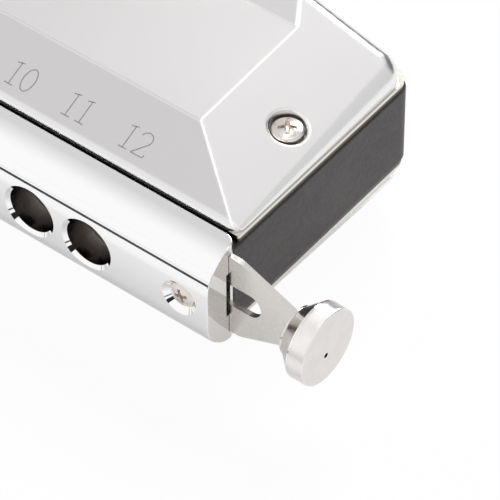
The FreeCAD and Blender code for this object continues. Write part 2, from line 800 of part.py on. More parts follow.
def bent_edges(block, rear):
    """Edges of the folds and ridges, and the outline of the rear wall over the top and round both corners."""
    low = plate_top + cover_front_rise + cover_foot_bend_radius
    bent = []
    for e in block.Edges:
        bound = e.BoundBox
        above_foot = bound.ZMax > low and bound.ZMin > stand_off
        straight = e.Curve.TypeId == "Part::GeomLine"
        on_rear = bound.YMin > rear - stand_off
        on_corner = not straight and bound.YMax > rear - stand_off
        inside = abs(e.CenterOfMass.x) < cover_half - end_bend_rear_radius
        fold = straight and inside and bound.YMin > cover_front + stand_off and bound.ZMin > plate_top
        if above_foot and (on_rear or on_corner or fold):
            bent.append(e)
    return bent


def cover_block(inset):
    """Solid inside the cover's outer surface, or inside its inner surface when the inset is the sheet."""
    side = cover_side(inset)
    block = extruded([vec(-comb_half, y, z) for y, z in side], X * (comb_half * 2))
    if cover_foot_bend_radius > inset:
        foot_z = plate_top + cover_front_rise
        foot = [e for e in block.Edges if abs(e.CenterOfMass.y - cover_front) < stand_off
                and abs(e.CenterOfMass.z - foot_z) < stand_off]
        block = block.makeFillet(cover_foot_bend_radius, foot)
    reach = overrun / cover_run
    ends = [end_section(-reach, inset), end_section(1 + reach, inset)]
    block = block.common(Part.makeLoft(ends, True, True))
    plan = slab(cover_half - inset, cover_front + inset, cover_rear - inset, 0, cover_top,
                cover_front_corner_radius - inset, cover_rear_corner_radius - inset)
    block = block.common(plan)
    return block.makeFillet(cover_bend_radius - inset, bent_edges(block, cover_rear - inset))


def make_cover():
    """Upper cover: bent sheet, open at the rear between its wrapped corners, with bolt recesses."""
    outer = cover_block(0)
    opening_half = cover_half - cover_rear_wrap
    opening = box(-opening_half, opening_half, cover_rear - cover_bend_radius, overrun, 0,
                  plate_top + cover_opening_rise)
    low = box(-comb_half, comb_half, comb_front, overrun, 0, plate_top)
    shell = outer.cut([cover_block(sheet), opening, low])
    radius = bolt_recess_dia / 2
    for side in (-1, 1):
        foot = vec(side * bolt_x, bolt_y, plate_top)
        floor = vec(side * bolt_x, bolt_y, recess_floor)
        high = vec(side * bolt_x, bolt_y, cover_top)
        cup = rod(radius + sheet, foot, high).common(outer)
        shell = shell.fuse(cup).cut([rod(radius, floor, high), rod(bolt_dia / 2 + fit_gap, foot, high)])
    return shell.makeFillet(bolt_recess_edge, [e for e in shell.Edges if is_recess_rim(e)]).removeSplitter()


def is_recess_rim(edge):
    """True for an edge where the wall of a recess meets the facet."""
    bound = edge.BoundBox
    wide = abs(bound.XLength - bolt_recess_dia) < stand_off
    return wide and abs(abs(bound.Center.x) - bolt_x) < stand_off and bound.ZMin > recess_floor + sheet


def make_bolt():
    """Right-hand cover bolt: a cheese head in the upper recess and a shank down into the nut."""
    foot = vec(bolt_x, bolt_y, recess_floor)
    top = vec(bolt_x, bolt_y, head_top)
    head = rod(bolt_head_dia / 2, foot, top)
    edge = [e for e in head.Edges if abs(e.CenterOfMass.z - head_top) < stand_off]
    head = head.makeFillet(bolt_head_edge, edge)
    shank = rod(bolt_dia / 2, vec(bolt_x, bolt_y, -head_top + nut_slot_depth), foot)
    recess = cross_recess(bolt_head_dia / 2, bolt_head_height * cross_depth_share, top, Z, bolt_cross_turn)
    return head.fuse(shank).cut(recess)


def make_nut():
    """Right-hand cover nut: a round slotted nut in the lower recess."""
    top = vec(bolt_x, bolt_y, -recess_floor)
    low = vec(bolt_x, bolt_y, -head_top)
    nut = rod(bolt_head_dia / 2, top, low)
    edge = [e for e in nut.Edges if abs(e.CenterOfMass.z + head_top) < stand_off]
    nut = nut.makeFillet(bolt_head_edge, edge)
    reach = bolt_head_dia / 2
    slot = box(bolt_x - reach, bolt_x + reach, bolt_y - nut_slot_width / 2, bolt_y + nut_slot_width / 2,
               -head_top, -head_top + nut_slot_depth)
    bore = rod(bolt_dia / 2 + fit_gap, vec(bolt_x, bolt_y, -head_top), vec(bolt_x, bolt_y, 0))
    return nut.cut([slot, bore])


def main():
    os.makedirs("parts", exist_ok=True)
    export("comb", make_comb())
    plate = make_plate()
    cover = make_cover()
    halves = {
        "reed_plate": plate,
        "blow_reeds": group(make_blow_reeds()),
        "draw_reeds": group(make_draw_reeds()),
        "reed_rivets": group(make_rivets()),
        "outer_valves": group(make_outer_valves()),
        "inner_valves": group(make_inner_valves()),
        "plate_screws": group(make_plate_screws()),
        "cover": cover,
    }
    for name, shape in halves.items():
        export("upper_" + name, shape)
        export("lower_" + name, lower(shape))
    export("slide_backing_plate", make_backing())
    export("slide_blade", make_blade())
    export("slide_button", make_button())
    export("mouthpiece", make_mouthpiece())
    export("slide_spring", make_spring())
    export("spring_post", make_spring_post())
    for name, shape in (("mouthpiece_screws", make_mouth_screw()), ("slide_bumpers", make_bumper()),
                        ("cover_bolts", make_bolt()), ("cover_nuts", make_nut())):
        export(name, group([shape, left(shape)]))


main()
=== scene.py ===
"""Looks of a chromatic harmonica with a slide button: its visible pieces, their finishes and a studio."""

import math

import bpy
import numpy as np
from bpy.props import FloatProperty, FloatVectorProperty, PointerProperty
from mathutils import Euler, Matrix, Vector


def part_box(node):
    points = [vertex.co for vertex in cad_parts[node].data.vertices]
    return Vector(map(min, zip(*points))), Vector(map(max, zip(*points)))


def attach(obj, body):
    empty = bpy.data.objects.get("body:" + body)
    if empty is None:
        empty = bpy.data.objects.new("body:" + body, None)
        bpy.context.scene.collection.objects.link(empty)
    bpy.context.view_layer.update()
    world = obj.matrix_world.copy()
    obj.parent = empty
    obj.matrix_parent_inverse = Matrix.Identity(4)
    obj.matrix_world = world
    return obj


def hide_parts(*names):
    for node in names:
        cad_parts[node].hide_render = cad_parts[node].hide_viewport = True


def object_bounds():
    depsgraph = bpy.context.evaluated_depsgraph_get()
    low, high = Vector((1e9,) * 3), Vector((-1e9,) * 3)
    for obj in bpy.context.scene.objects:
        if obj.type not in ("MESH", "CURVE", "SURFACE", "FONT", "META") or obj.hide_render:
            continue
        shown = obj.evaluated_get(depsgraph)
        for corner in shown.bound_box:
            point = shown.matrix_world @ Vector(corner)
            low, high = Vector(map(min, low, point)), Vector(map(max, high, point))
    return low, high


bl_info = {
    "name": "Chromatic harmonica",
    "version": (1, 0, 0),
    "blender": (4, 5, 0),
    "location": "3D View > Sidebar > Harmonica",
    "description": "Dresses the harmonica's frame with its visible surfaces, finishes and a plain studio",
    "category": "Object",
}

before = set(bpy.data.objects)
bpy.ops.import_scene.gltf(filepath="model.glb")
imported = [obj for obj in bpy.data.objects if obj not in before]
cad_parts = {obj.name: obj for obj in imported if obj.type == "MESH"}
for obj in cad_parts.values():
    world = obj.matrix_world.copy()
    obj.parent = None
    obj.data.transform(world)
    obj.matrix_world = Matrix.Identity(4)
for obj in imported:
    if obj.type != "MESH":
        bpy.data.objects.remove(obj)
cad_box = [list(corner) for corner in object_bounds()]

MM = 0.001
HOLE_COUNT = 12
HOLE_PITCH = 9.4 * MM
PIN_HOLE = 0.02 * MM  # radius at which a turned surface stops short of its axis


def linear(hex_colour):
    """Linear colour, with alpha 1, of an sRGB hex string such as "8fa0b1"."""
    values = [int(hex_colour[i:i + 2], 16) / 255 for i in (0, 2, 4)]
    return [v / 12.92 if v <= 0.04045 else ((v + 0.055) / 1.055) ** 2.4 for v in values] + [1.0]


def size(name, description, default):
    """A length property, with its default in millimetres."""
    return FloatProperty(name=name, description=description, default=default * MM, unit="LENGTH", precision=5)


def colour(name, description, hex_colour):
    """A colour property."""
    return FloatVectorProperty(name=name, description=description, default=linear(hex_colour), size=4,
                               min=0.0, max=1.0, subtype="COLOR")


def add_node(tree, kind, inputs=None, **settings):
    """Adds a node with its settings. An input that is given as another node's socket is linked to it."""
    made = tree.nodes.new(kind)
    for name, value in settings.items():
        setattr(made, name, value)
    for key, value in (inputs or {}).items():
        if isinstance(value, bpy.types.NodeSocket):
            tree.links.new(value, made.inputs[key])
        else:
            made.inputs[key].default_value = value
    return made


def new_material(name):
    """An empty node material and its tree."""
    made = bpy.data.materials.new(name)
    made.use_nodes = True
    made.node_tree.nodes.clear()
    return made, made.node_tree


def finish_material(tree, surface):
    """Joins a shader to the material's output."""
    add_node(tree, "ShaderNodeOutputMaterial", {"Surface": surface})


def cad(name):
    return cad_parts[name]


def give(names, material):
    """Gives a material to CAD nodes, in place of what they were packed with."""
    for name in names:
        mesh = cad(name).data
        mesh.materials.clear()
        mesh.materials.append(material)


# Surfaces

def grid_quads(rows, columns, wraps):
    """Quads between the points of a grid numbered row by row. The last column joins the first if it wraps."""
    row = np.arange(rows - 1)[:, None]
    column = np.arange(columns if wraps else columns - 1)[None, :]
    ahead = (column + 1) % columns
    corners = [row * columns + column, row * columns + ahead, (row + 1) * columns + ahead,
               (row + 1) * columns + column]
    return np.stack(corners, axis=-1).reshape(-1, 4)


def spun_surface(along, radius, origin, axis, side):
    """Closed surface round an axis, as points and faces.

    Row i and column j of the arrays give the place along the axis and the distance from it at ring i and at
    angle 2 pi j / columns from the side vector. A pole closes the first ring and another closes the last.
    """
    rings, columns = along.shape
    angle = np.arange(columns) * (2 * math.pi / columns)
    axis = np.array(axis, float)
    side = np.array(side, float)
    across = np.cross(axis, side)
    spoke = np.cos(angle)[:, None] * side + np.sin(angle)[:, None] * across
    points = np.array(origin) + along[..., None] * axis + radius[..., None] * spoke
    poles = np.array(origin) + np.array([along[0].mean(), along[-1].mean()])[:, None] * axis
    ring = np.arange(columns)
    ahead = (ring + 1) % columns
    first = np.full(columns, rings * columns)
    low = (rings - 1) * columns
    caps = np.concatenate([np.stack([first, ahead, ring], axis=-1),
                           np.stack([first + 1, low + ring, low + ahead], axis=-1)])
    quads = grid_quads(rings, columns, True)
    return np.concatenate([points.reshape(-1, 3), poles]), quads.tolist() + caps.tolist()


def add_piece(name, surfaces, material, body, sharp_angle=35.0):
    """Makes one piece of several surfaces, each given as points and faces, and sets it on its body."""
    points = np.concatenate([p for p, _ in surfaces])
    faces = []
    start = 0
    for surface_points, surface_faces in surfaces:
        faces += [tuple(index + start for index in face) for face in surface_faces]
        start += len(surface_points)
    mesh = bpy.data.meshes.new(name)
    mesh.from_pydata(points.tolist(), [], faces)
    mesh.shade_smooth()
    mesh.set_sharp_from_angle(angle=math.radians(sharp_angle))
    mesh.materials.append(material)
    piece = bpy.data.objects.new(name, mesh)
    bpy.context.scene.collection.objects.link(piece)
    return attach(piece, body)


# Push knob

KNOB_COLUMNS = 180
KNOB_FACE_RINGS = 60
# painted shade in the knob's centre mark: full within the first radius, faded out by the second
MARK_SHADE_RADIUS = 0.34 * MM
MARK_SHADE_END = 0.4 * MM


class HarmonicaKnob(bpy.types.PropertyGroup):
    """The turned knob that the player pushes."""

    neck_radius: size("Neck radius", "Radius where the knob meets the blade", 3.4)
    neck_length: size("Neck length", "Straight part of the neck", 0.3)
    cone_length: size("Cone length", "From the neck to the rim", 2.4)
    edge_radius: size("Edge radius", "Rounding of the rim's edges", 0.18)
    mark_radius: size("Mark radius", "Radius of the lathe's centre mark", 0.32)
    mark_depth: size("Mark depth", "Depth of the lathe's centre mark", 0.5)
    mark_forward: size("Mark forward", "From the axis towards the player", 0.42)
    mark_down: size("Mark down", "From the axis downwards", 1.03)
    metal: colour("Metal", "Colour of the nickel plate", "ece8e6")


def turned_nickel(metal, neck_place, rim_start, rim_radius, mark_place):
    """Turned, nickel-plated steel: fine rings, a smooth cone, a painted highlight on the rim's round side,
    and painted shade in the centre mark.
    """
    made, tree = new_material("turned_nickel")
    place = add_node(tree, "ShaderNodeTexCoord").outputs["Object"]
    centred = add_node(tree, "ShaderNodeVectorMath", {0: place, 1: neck_place}, operation="SUBTRACT")
    parts = add_node(tree, "ShaderNodeSeparateXYZ", {"Vector": centred.outputs["Vector"]}).outputs
    flat = add_node(tree, "ShaderNodeCombineXYZ", {"Y": parts["Y"], "Z": parts["Z"]})
    spread = add_node(tree, "ShaderNodeVectorMath", {0: flat.outputs["Vector"]}, operation="LENGTH")
    rings = add_node(tree, "ShaderNodeCombineXYZ", {"X": spread.outputs["Value"], "Y": parts["X"]})
    # tool marks are about 0.05 mm apart, drawn at 0.15 mm so that they show
    marks = add_node(tree, "ShaderNodeTexNoise", {"Vector": rings.outputs["Vector"], "Scale": 6500.0,
                                                  "Detail": 2.0})
    # fingers leave duller patches about 2.5 mm across
    handling = add_node(tree, "ShaderNodeTexNoise", {"Vector": place, "Scale": 420.0, "Detail": 3.0})
    rough = add_node(tree, "ShaderNodeMapRange", {"Value": handling.outputs["Fac"], "From Min": 0.3,
                                                  "From Max": 0.7, "To Min": 0.13, "To Max": 0.24})
    bump = add_node(tree, "ShaderNodeBump", {"Height": marks.outputs["Fac"], "Strength": 0.35,
                                             "Distance": 0.00001})
    # painted shade: near the lathe's centre mark the colour falls to almost black
    from_mark = add_node(tree, "ShaderNodeVectorMath", {0: place, 1: mark_place}, operation="DISTANCE")
    unshaded = add_node(tree, "ShaderNodeMapRange", {
        "Value": from_mark.outputs["Value"], "From Min": MARK_SHADE_RADIUS, "From Max": MARK_SHADE_END, "To Min": 0.02,
        "To Max": 1.0})
    dull = add_node(tree, "ShaderNodeMapRange", {"Value": handling.outputs["Fac"], "From Min": 0.3,
                                                 "From Max": 0.7, "To Min": 0.9, "To Max": 1.0})
    level = add_node(tree, "ShaderNodeMath", {0: unshaded.outputs["Result"], 1: dull.outputs["Result"]},
                     operation="MULTIPLY")
    # painted highlight: the rim's round side is drawn up to 17% paler than its face
    painted_highlight = add_node(tree, "ShaderNodeMapRange", {
        "Value": spread.outputs["Value"], "From Min": rim_radius - 0.2 * MM,
        "From Max": rim_radius - 0.1 * MM, "To Min": 1.0, "To Max": 1.17})
    shade = add_node(tree, "ShaderNodeMath", {0: level.outputs["Value"], 1: painted_highlight.outputs["Result"]},
                     operation="MULTIPLY")
    tone = add_node(tree, "ShaderNodeVectorMath", {0: metal[:3], "Scale": shade.outputs["Value"]},
                    operation="SCALE")
    on_rim = add_node(tree, "ShaderNodeMapRange", {"Value": parts["X"], "From Min": rim_start,
                                                   "From Max": rim_start + 0.1 * MM, "To Max": 0.14})
    gleam = add_node(tree, "ShaderNodeMath", {0: rough.outputs["Result"], 1: on_rim.outputs["Result"]},
                     operation="ADD")
    shader = add_node(tree, "ShaderNodeBsdfPrincipled", {
        "Base Color": tone.outputs["Vector"], "Metallic": 1.0, "Roughness": gleam.outputs["Value"],
        "Normal": bump.outputs["Normal"]})
    finish_material(tree, shader.outputs["BSDF"])
    return made


class HARMONICA_OT_push_knob(bpy.types.Operator):
    """Turn the push knob: a neck, a cone and a thick rim with a flat face"""

    bl_idname = "harmonica.push_knob"
    bl_label = "Push knob"

    def execute(self, context):
        knob = context.scene.harmonica_knob
        low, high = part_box("slide_button")
        middle = (low + high) / 2
        neck = (low.x, middle.y, middle.z)
        rim = (high.z - low.z) / 2
        length = high.x - low.x
        along, radius = self.profile(knob, length, rim)
        along = np.repeat(along[:, None], KNOB_COLUMNS, axis=1)
        radius = np.repeat(radius[:, None], KNOB_COLUMNS, axis=1)
        along -= self.centre_mark(knob, along, radius, length)
        made = spun_surface(along, radius, neck, (1, 0, 0), (0, 1, 0))
        mark = (high.x, middle.y - knob.mark_forward, middle.z - knob.mark_down)
        material = turned_nickel(list(knob.metal), neck, knob.neck_length + knob.cone_length, rim, mark)
        piece = add_piece("push_knob", [made], material, "slide")
        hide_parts("slide_button")
        return {"FINISHED"}

    def profile(self, knob, length, rim):
        """Places along the axis and radii: straight runs, joined by rounds at the rim's two edges."""
        edge = knob.edge_radius
        neck_edge = 0.05 * MM
        neck_end = knob.neck_length
        cone_end = neck_end + knob.cone_length
        slope = math.atan2(rim - knob.neck_radius, knob.cone_length)
        rear_turn = np.linspace(slope, 0, 6)
        face_turn = np.linspace(0, math.pi / 2, 7)
        widening = rim - knob.neck_radius - edge * (1 - math.cos(slope))
        along = np.concatenate([
            [0, 0], np.linspace(neck_edge, neck_end, 3), np.linspace(neck_end, cone_end - edge, 12),
            cone_end + edge * (1 - np.sin(rear_turn)), np.linspace(cone_end + edge, length - edge, 6)[1:],
            length - edge + edge * np.sin(face_turn), np.full(KNOB_FACE_RINGS, length)])
        radius = np.concatenate([
            [PIN_HOLE, knob.neck_radius - neck_edge], np.full(3, knob.neck_radius),
            knob.neck_radius + widening * np.linspace(0, 1, 12), rim - edge * (1 - np.cos(rear_turn)),
            np.full(5, rim), rim - edge + edge * np.cos(face_turn),
            np.linspace(rim - edge, PIN_HOLE, KNOB_FACE_RINGS + 1)[1:]])
        return along, radius

    def centre_mark(self, knob, along, radius, length):
        """Depth of the small conical mark, which falls evenly from its rim to its centre off the axis."""
        angle = np.arange(KNOB_COLUMNS) * (2 * math.pi / KNOB_COLUMNS)
        y = radius * np.cos(angle) + knob.mark_forward
        z = radius * np.sin(angle) + knob.mark_down
        inside = np.clip(1 - np.hypot(y, z) / knob.mark_radius, 0, 1)
        return knob.mark_depth * inside * (along > length - 0.01 * MM)


# Screws

HEAD_COLUMNS = 192
HEAD_TOP_RINGS = 56
# shape of a head and its cross, as shares of the head's radius
HEAD_EDGE = 0.16
ARM_HALF_WIDTH = 0.13
ARM_REACH = 0.56
CORE_RADIUS = 0.24
CROSS_WALL_RUN = 0.045
CROSS_DEPTH = 0.48
CROSS_FLOOR_RISE = 0.3


class HarmonicaScrews(bpy.types.PropertyGroup):
    """Cross-head screws of the mouthpiece and the covers."""

    bolt_shank: size("Bolt shank radius", "Radius of a cover bolt's shank", 1.15)
    bolt_head: size("Bolt head height", "Thickness of a cover bolt's head", 2.4)
    bolt_dome: size("Bolt dome", "Height of the dome on a cover bolt's head", 0.3)
    screw_shank: size("Screw shank radius", "Radius of a mouthpiece screw's shank", 1.1)
    screw_head: size("Screw head height", "Thickness of a mouthpiece screw's head", 1.5)
    screw_dome: size("Screw dome", "Height of the dome on a mouthpiece screw's head", 0.22)
    bolt_turn: FloatProperty(name="Bolt cross turn", description="Turn of the cross in a cover bolt",
                             default=math.radians(38), subtype="ANGLE")
    screw_turn: FloatProperty(name="Screw cross turn", description="Turn of the cross in a mouthpiece screw",
                              default=math.radians(20), subtype="ANGLE")
    metal: colour("Metal", "Colour of the nickel plate", "eae2dc")


def screw_steel(metal):
    """Nickel-plated screw steel: polished, with faint smears from the driver and the plating drum."""
    made, tree = new_material("nickel_plated_screw_steel")
    place = add_node(tree, "ShaderNodeTexCoord").outputs["Object"]
    # the smears are about 0.7 mm across
    smear = add_node(tree, "ShaderNodeTexNoise", {"Vector": place, "Scale": 1400.0, "Detail": 3.0})
    rough = add_node(tree, "ShaderNodeMapRange", {"Value": smear.outputs["Fac"], "From Min": 0.3,
                                                  "From Max": 0.7, "To Min": 0.14, "To Max": 0.3})
    bump = add_node(tree, "ShaderNodeBump", {"Height": smear.outputs["Fac"], "Strength": 0.15,
                                             "Distance": 0.00001})
    shader = add_node(tree, "ShaderNodeBsdfPrincipled", {
        "Base Color": metal, "Metallic": 1.0, "Roughness": rough.outputs["Result"],
        "Normal": bump.outputs["Normal"]})
    finish_material(tree, shader.outputs["BSDF"])
    return made


def cross_head(head_radius, head_height, dome, shank_radius, length, turn):
    """Places along the axis, from the seat outwards, and radii of a cross-head screw.

    The head's top is a parabola, its edge a quarter round and the rest straight. The cross is where the
    distance inside either arm or the core is positive, and its floor rises towards the tips of the arms.
    """
    edge = HEAD_EDGE * head_radius
    flat = head_radius - edge
    top = np.linspace(0.01, 1, HEAD_TOP_RINGS) * flat
    turning = np.linspace(0, math.pi / 2, 8)[1:]
    rounded = flat + edge * np.sin(turning)
    shank_radii = [shank_radius, shank_radius, shank_radius * 0.8, shank_radius * 0.02]
    radius = np.concatenate([top, rounded, [head_radius], shank_radii])
    crown = head_height - dome * (top / flat) ** 2
    fall = head_height - dome - edge * (1 - np.cos(turning))
    along = np.concatenate([crown, fall, [0, 0, -length + 0.3 * MM, -length, -length]])
    radius = np.repeat(radius[:, None], HEAD_COLUMNS, axis=1)
    along = np.repeat(along[:, None], HEAD_COLUMNS, axis=1)
    angle = np.arange(HEAD_COLUMNS) * (2 * math.pi / HEAD_COLUMNS) - turn
    u = np.abs(radius[:HEAD_TOP_RINGS] * np.cos(angle)) / head_radius
    v = np.abs(radius[:HEAD_TOP_RINGS] * np.sin(angle)) / head_radius
    from_axis = np.hypot(u, v)
    arms = np.maximum(np.minimum(ARM_HALF_WIDTH - v, ARM_REACH - u),
                      np.minimum(ARM_HALF_WIDTH - u, ARM_REACH - v))
    inside = np.maximum(arms, CORE_RADIUS - from_axis)
    floor = CROSS_DEPTH - CROSS_FLOOR_RISE * from_axis
    along[:HEAD_TOP_RINGS] -= np.clip(inside / CROSS_WALL_RUN, 0, 1) * floor * head_radius
    return along, radius


class HARMONICA_OT_screws(bpy.types.Operator):
    """Shape the cross-head screws that hold the mouthpiece and the covers"""

    bl_idname = "harmonica.screws"
    bl_label = "Screws"

    def execute(self, context):
        screws = context.scene.harmonica_screws
        metal = screw_steel(list(screws.metal))
        low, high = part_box("cover_bolts")
        head = (high.y - low.y) / 2
        seat = high.z - screws.bolt_head
        shape = cross_head(head, screws.bolt_head, screws.bolt_dome, screws.bolt_shank, seat - low.z,
                           screws.bolt_turn)
        middle = (low.y + high.y) / 2
        bolts = [spun_surface(*shape, (side * (high.x - head), middle, seat), (0, 0, 1), (1, 0, 0))
                 for side in (-1, 1)]
        piece = add_piece("cross_head_bolts", bolts, metal, "instrument")
        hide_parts("cover_bolts")
        low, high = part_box("mouthpiece_screws")
        head = (high.z - low.z) / 2
        seat = low.y + screws.screw_head
        shape = cross_head(head, screws.screw_head, screws.screw_dome, screws.screw_shank, high.y - seat,
                           screws.screw_turn)
        pair = [spun_surface(*shape, (side * (high.x - head), seat, 0), (0, -1, 0), (1, 0, 0))
                for side in (-1, 1)]
        piece = add_piece("cross_head_mouthpiece_screws", pair, metal, "instrument")
        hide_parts("mouthpiece_screws")
        give(["cover_nuts"], metal)
        return {"FINISHED"}


# Hole numbers

ARC_POINTS = 22
ENGRAVING_LIFT = 0.012 * MM


class HarmonicaNumbers(bpy.types.PropertyGroup):
    """Numbers of the holes, engraved on the front slope of the upper cover."""

    digit_height: size("Digit height", "Height of a digit along the slope", 3.35)
    digit_pitch: size("Digit pitch", "From one digit to the next", 2.25)
    line_width: size("Line width", "Width of an engraved line", 0.14)
    up_slope: size("Place up", "From the cover's front to the middle of the digits", 4.0)
    aside: size("Place aside", "From the middle of a hole to the middle of its number, leftwards", 0.35)
    tone: colour("Tone", "Colour of the engraved lines", "aea9a6")


def arc(x, y, across, up, start, end):
    """Points of an elliptical arc, with angles in degrees from the right."""
    angle = np.radians(np.linspace(start, end, ARC_POINTS))
    return np.stack([x + across * np.cos(angle), y + up * np.sin(angle)], axis=-1)


def digit_strokes():
    """Centre lines of the ten digits. Each is one high and stands on its baseline, centred across."""
    foot = np.array([(-0.2, 0.0), (0.2, 0.0)])
    return {
        "0": [arc(0, 0.5, 0.27, 0.5, 90, 450)],
        "1": [np.array([(0.0, 0.0), (0.0, 1.0)]), foot, np.array([(0.12, 1.0), (-0.2, 0.93)])],
        "2": [np.concatenate([arc(0, 0.73, 0.26, 0.27, 165, -35), [(-0.27, 0.0)]]),
              np.array([(-0.27, 0.0), (0.28, 0.0)]), np.array([(0.28, 0.0), (0.3, 0.14)])],
        "3": [arc(0, 0.76, 0.23, 0.24, 155, -90), arc(0, 0.26, 0.27, 0.26, 90, -155)],
        "4": [np.array([(0.12, 0.0), (0.12, 1.0), (-0.3, 0.3), (0.3, 0.3)])],
        "5": [np.array([(0.24, 1.0), (-0.18, 1.0), (-0.22, 0.54)]), arc(-0.02, 0.31, 0.28, 0.31, 130, -150)],
        "6": [np.concatenate([arc(0.1, 0.62, 0.36, 0.38, 70, 180), [(-0.26, 0.3)]]),
              arc(0, 0.3, 0.26, 0.3, 0, 360)],
        "7": [np.array([(-0.27, 1.0), (0.27, 1.0), (-0.06, 0.0)])],
        "8": [arc(0, 0.76, 0.22, 0.24, -90, 270), arc(0, 0.26, 0.27, 0.26, 90, 450)],
        "9": [np.concatenate([[(0.26, 0.7)], arc(-0.1, 0.38, 0.36, 0.38, 0, -110)]),
              arc(0, 0.7, 0.26, 0.3, 0, 360)],
    }


def ribbon(path, width):
    """Flat ribbon along a path: each point moves half the width to both sides, square to the path."""
    step = np.gradient(path, axis=0)
    step /= np.linalg.norm(step, axis=1)[:, None]
    square = np.stack([-step[:, 1], step[:, 0]], axis=-1) * (width / 2)
    return np.stack([path + square, path - square], axis=1)


def engraved_metal(tone):
    """Engraved plated sheet: the cut lines are matt and a little darker than the satin round them."""
    made, tree = new_material("engraved_sheet")
    place = add_node(tree, "ShaderNodeTexCoord").outputs["Object"]
    # the burrs are about 0.05 mm, drawn at 0.3 mm so that they show
    burr = add_node(tree, "ShaderNodeTexNoise", {"Vector": place, "Scale": 3000.0, "Detail": 2.0})
    rough = add_node(tree, "ShaderNodeMapRange", {"Value": burr.outputs["Fac"], "To Min": 0.5, "To Max": 0.8})
    shader = add_node(tree, "ShaderNodeBsdfPrincipled", {
        "Base Color": tone, "Metallic": 0.1, "Roughness": rough.outputs["Result"]})
    finish_material(tree, shader.outputs["BSDF"])
    return made


class HARMONICA_OT_hole_numbers(bpy.types.Operator):
    """Engrave the plain numbers of the twelve holes"""

    bl_idname = "harmonica.hole_numbers"
    bl_label = "Hole numbers"

    def execute(self, context):
        numbers = context.scene.harmonica_numbers
        cover = context.scene.harmonica_covers
        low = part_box("upper_cover")[0]
        slope = math.atan2(cover.slope_rise, cover.slope_run)
        up = np.array([0, math.cos(slope), math.sin(slope)])
        out = np.array([0, -math.sin(slope), math.cos(slope)])
        start = np.array([0, low.y, low.z + cover.front_rise])
        strokes = digit_strokes()
        surfaces = []
        for hole in range(1, HOLE_COUNT + 1):
            text = str(hole)
            for place, digit in enumerate(text):
                x = (hole - (HOLE_COUNT + 1) / 2) * HOLE_PITCH - numbers.aside
                x += (place - (len(text) - 1) / 2) * numbers.digit_pitch
                foot = numbers.up_slope - numbers.digit_height / 2
                corner = start + (x, 0, 0) + up * foot + out * ENGRAVING_LIFT
                for path in strokes[digit]:
                    flat = ribbon(path * numbers.digit_height, numbers.line_width)
                    points = corner + flat[..., :1] * (1, 0, 0) + flat[..., 1:] * up
                    quads = grid_quads(len(path), 2, False)[:, ::-1]
                    surfaces.append((points.reshape(-1, 3), quads.tolist()))
        piece = add_piece("hole_numbers", surfaces, engraved_metal(list(numbers.tone)), "instrument")
        return {"FINISHED"}


# Covers

class HarmonicaCovers(bpy.types.PropertyGroup):
    """Both sheet covers."""

    front_rise: size("Front rise", "Height of the foot of the front slope above the reed plate", 0.7)
    slope_run: size("Slope run", "Depth of the front slope", 9.6)
    slope_rise: size("Slope rise", "Height of the front slope", 4.02)
    metal: colour("Metal", "Colour of the satin plate", "dddbdb")
    # painted highlight: the near-white colour given to the bends and the front edge
    burnished: colour("Burnished", "Colour of the plate where a bend is burnished", "f7f6f6")
    metallic: FloatProperty(name="Metallic", description="Share of metal sheen", default=0.92, min=0, max=1)


# directions in which the flats of a cover face, for its right and upper half: crown, front slope, flare,
# end facet and end wall
COVER_FLATS = ((0, -0.0647, 0.9979), (0, -0.3863, 0.9224), (0, -0.2317, 0.9728), (0.2556, -0.0655, 0.9646),
               (1, 0, 0))
FOLD_RADIUS = 0.5 * MM
# the painted highlight on the front edge is full this far back from it and gone by the next
BRIGHT_EDGE = 0.7 * MM
BRIGHT_EDGE_END = 1.1 * MM
BEND_ROUGHNESS = 0.26


def bend_share(tree, facing):
    """How far a place lies in a bend: 0 where it faces as one of the flats does, 1 where it faces between."""
    parts = add_node(tree, "ShaderNodeSeparateXYZ", {"Vector": facing}).outputs
    across = add_node(tree, "ShaderNodeMath", {0: parts["X"]}, operation="ABSOLUTE")
    up = add_node(tree, "ShaderNodeMath", {0: parts["Z"]}, operation="ABSOLUTE")
    folded = add_node(tree, "ShaderNodeCombineXYZ", {"X": across.outputs["Value"], "Y": parts["Y"],
                                                     "Z": up.outputs["Value"]})
    nearest = 0.0
    for flat in COVER_FLATS:
        like = add_node(tree, "ShaderNodeVectorMath", {0: folded.outputs["Vector"], 1: flat},
                        operation="DOT_PRODUCT")
        nearest = add_node(tree, "ShaderNodeMath", {0: like.outputs["Value"], 1: nearest},
                           operation="MAXIMUM").outputs["Value"]
    return add_node(tree, "ShaderNodeMapRange", {"Value": nearest, "From Min": 0.9993, "From Max": 0.9975})


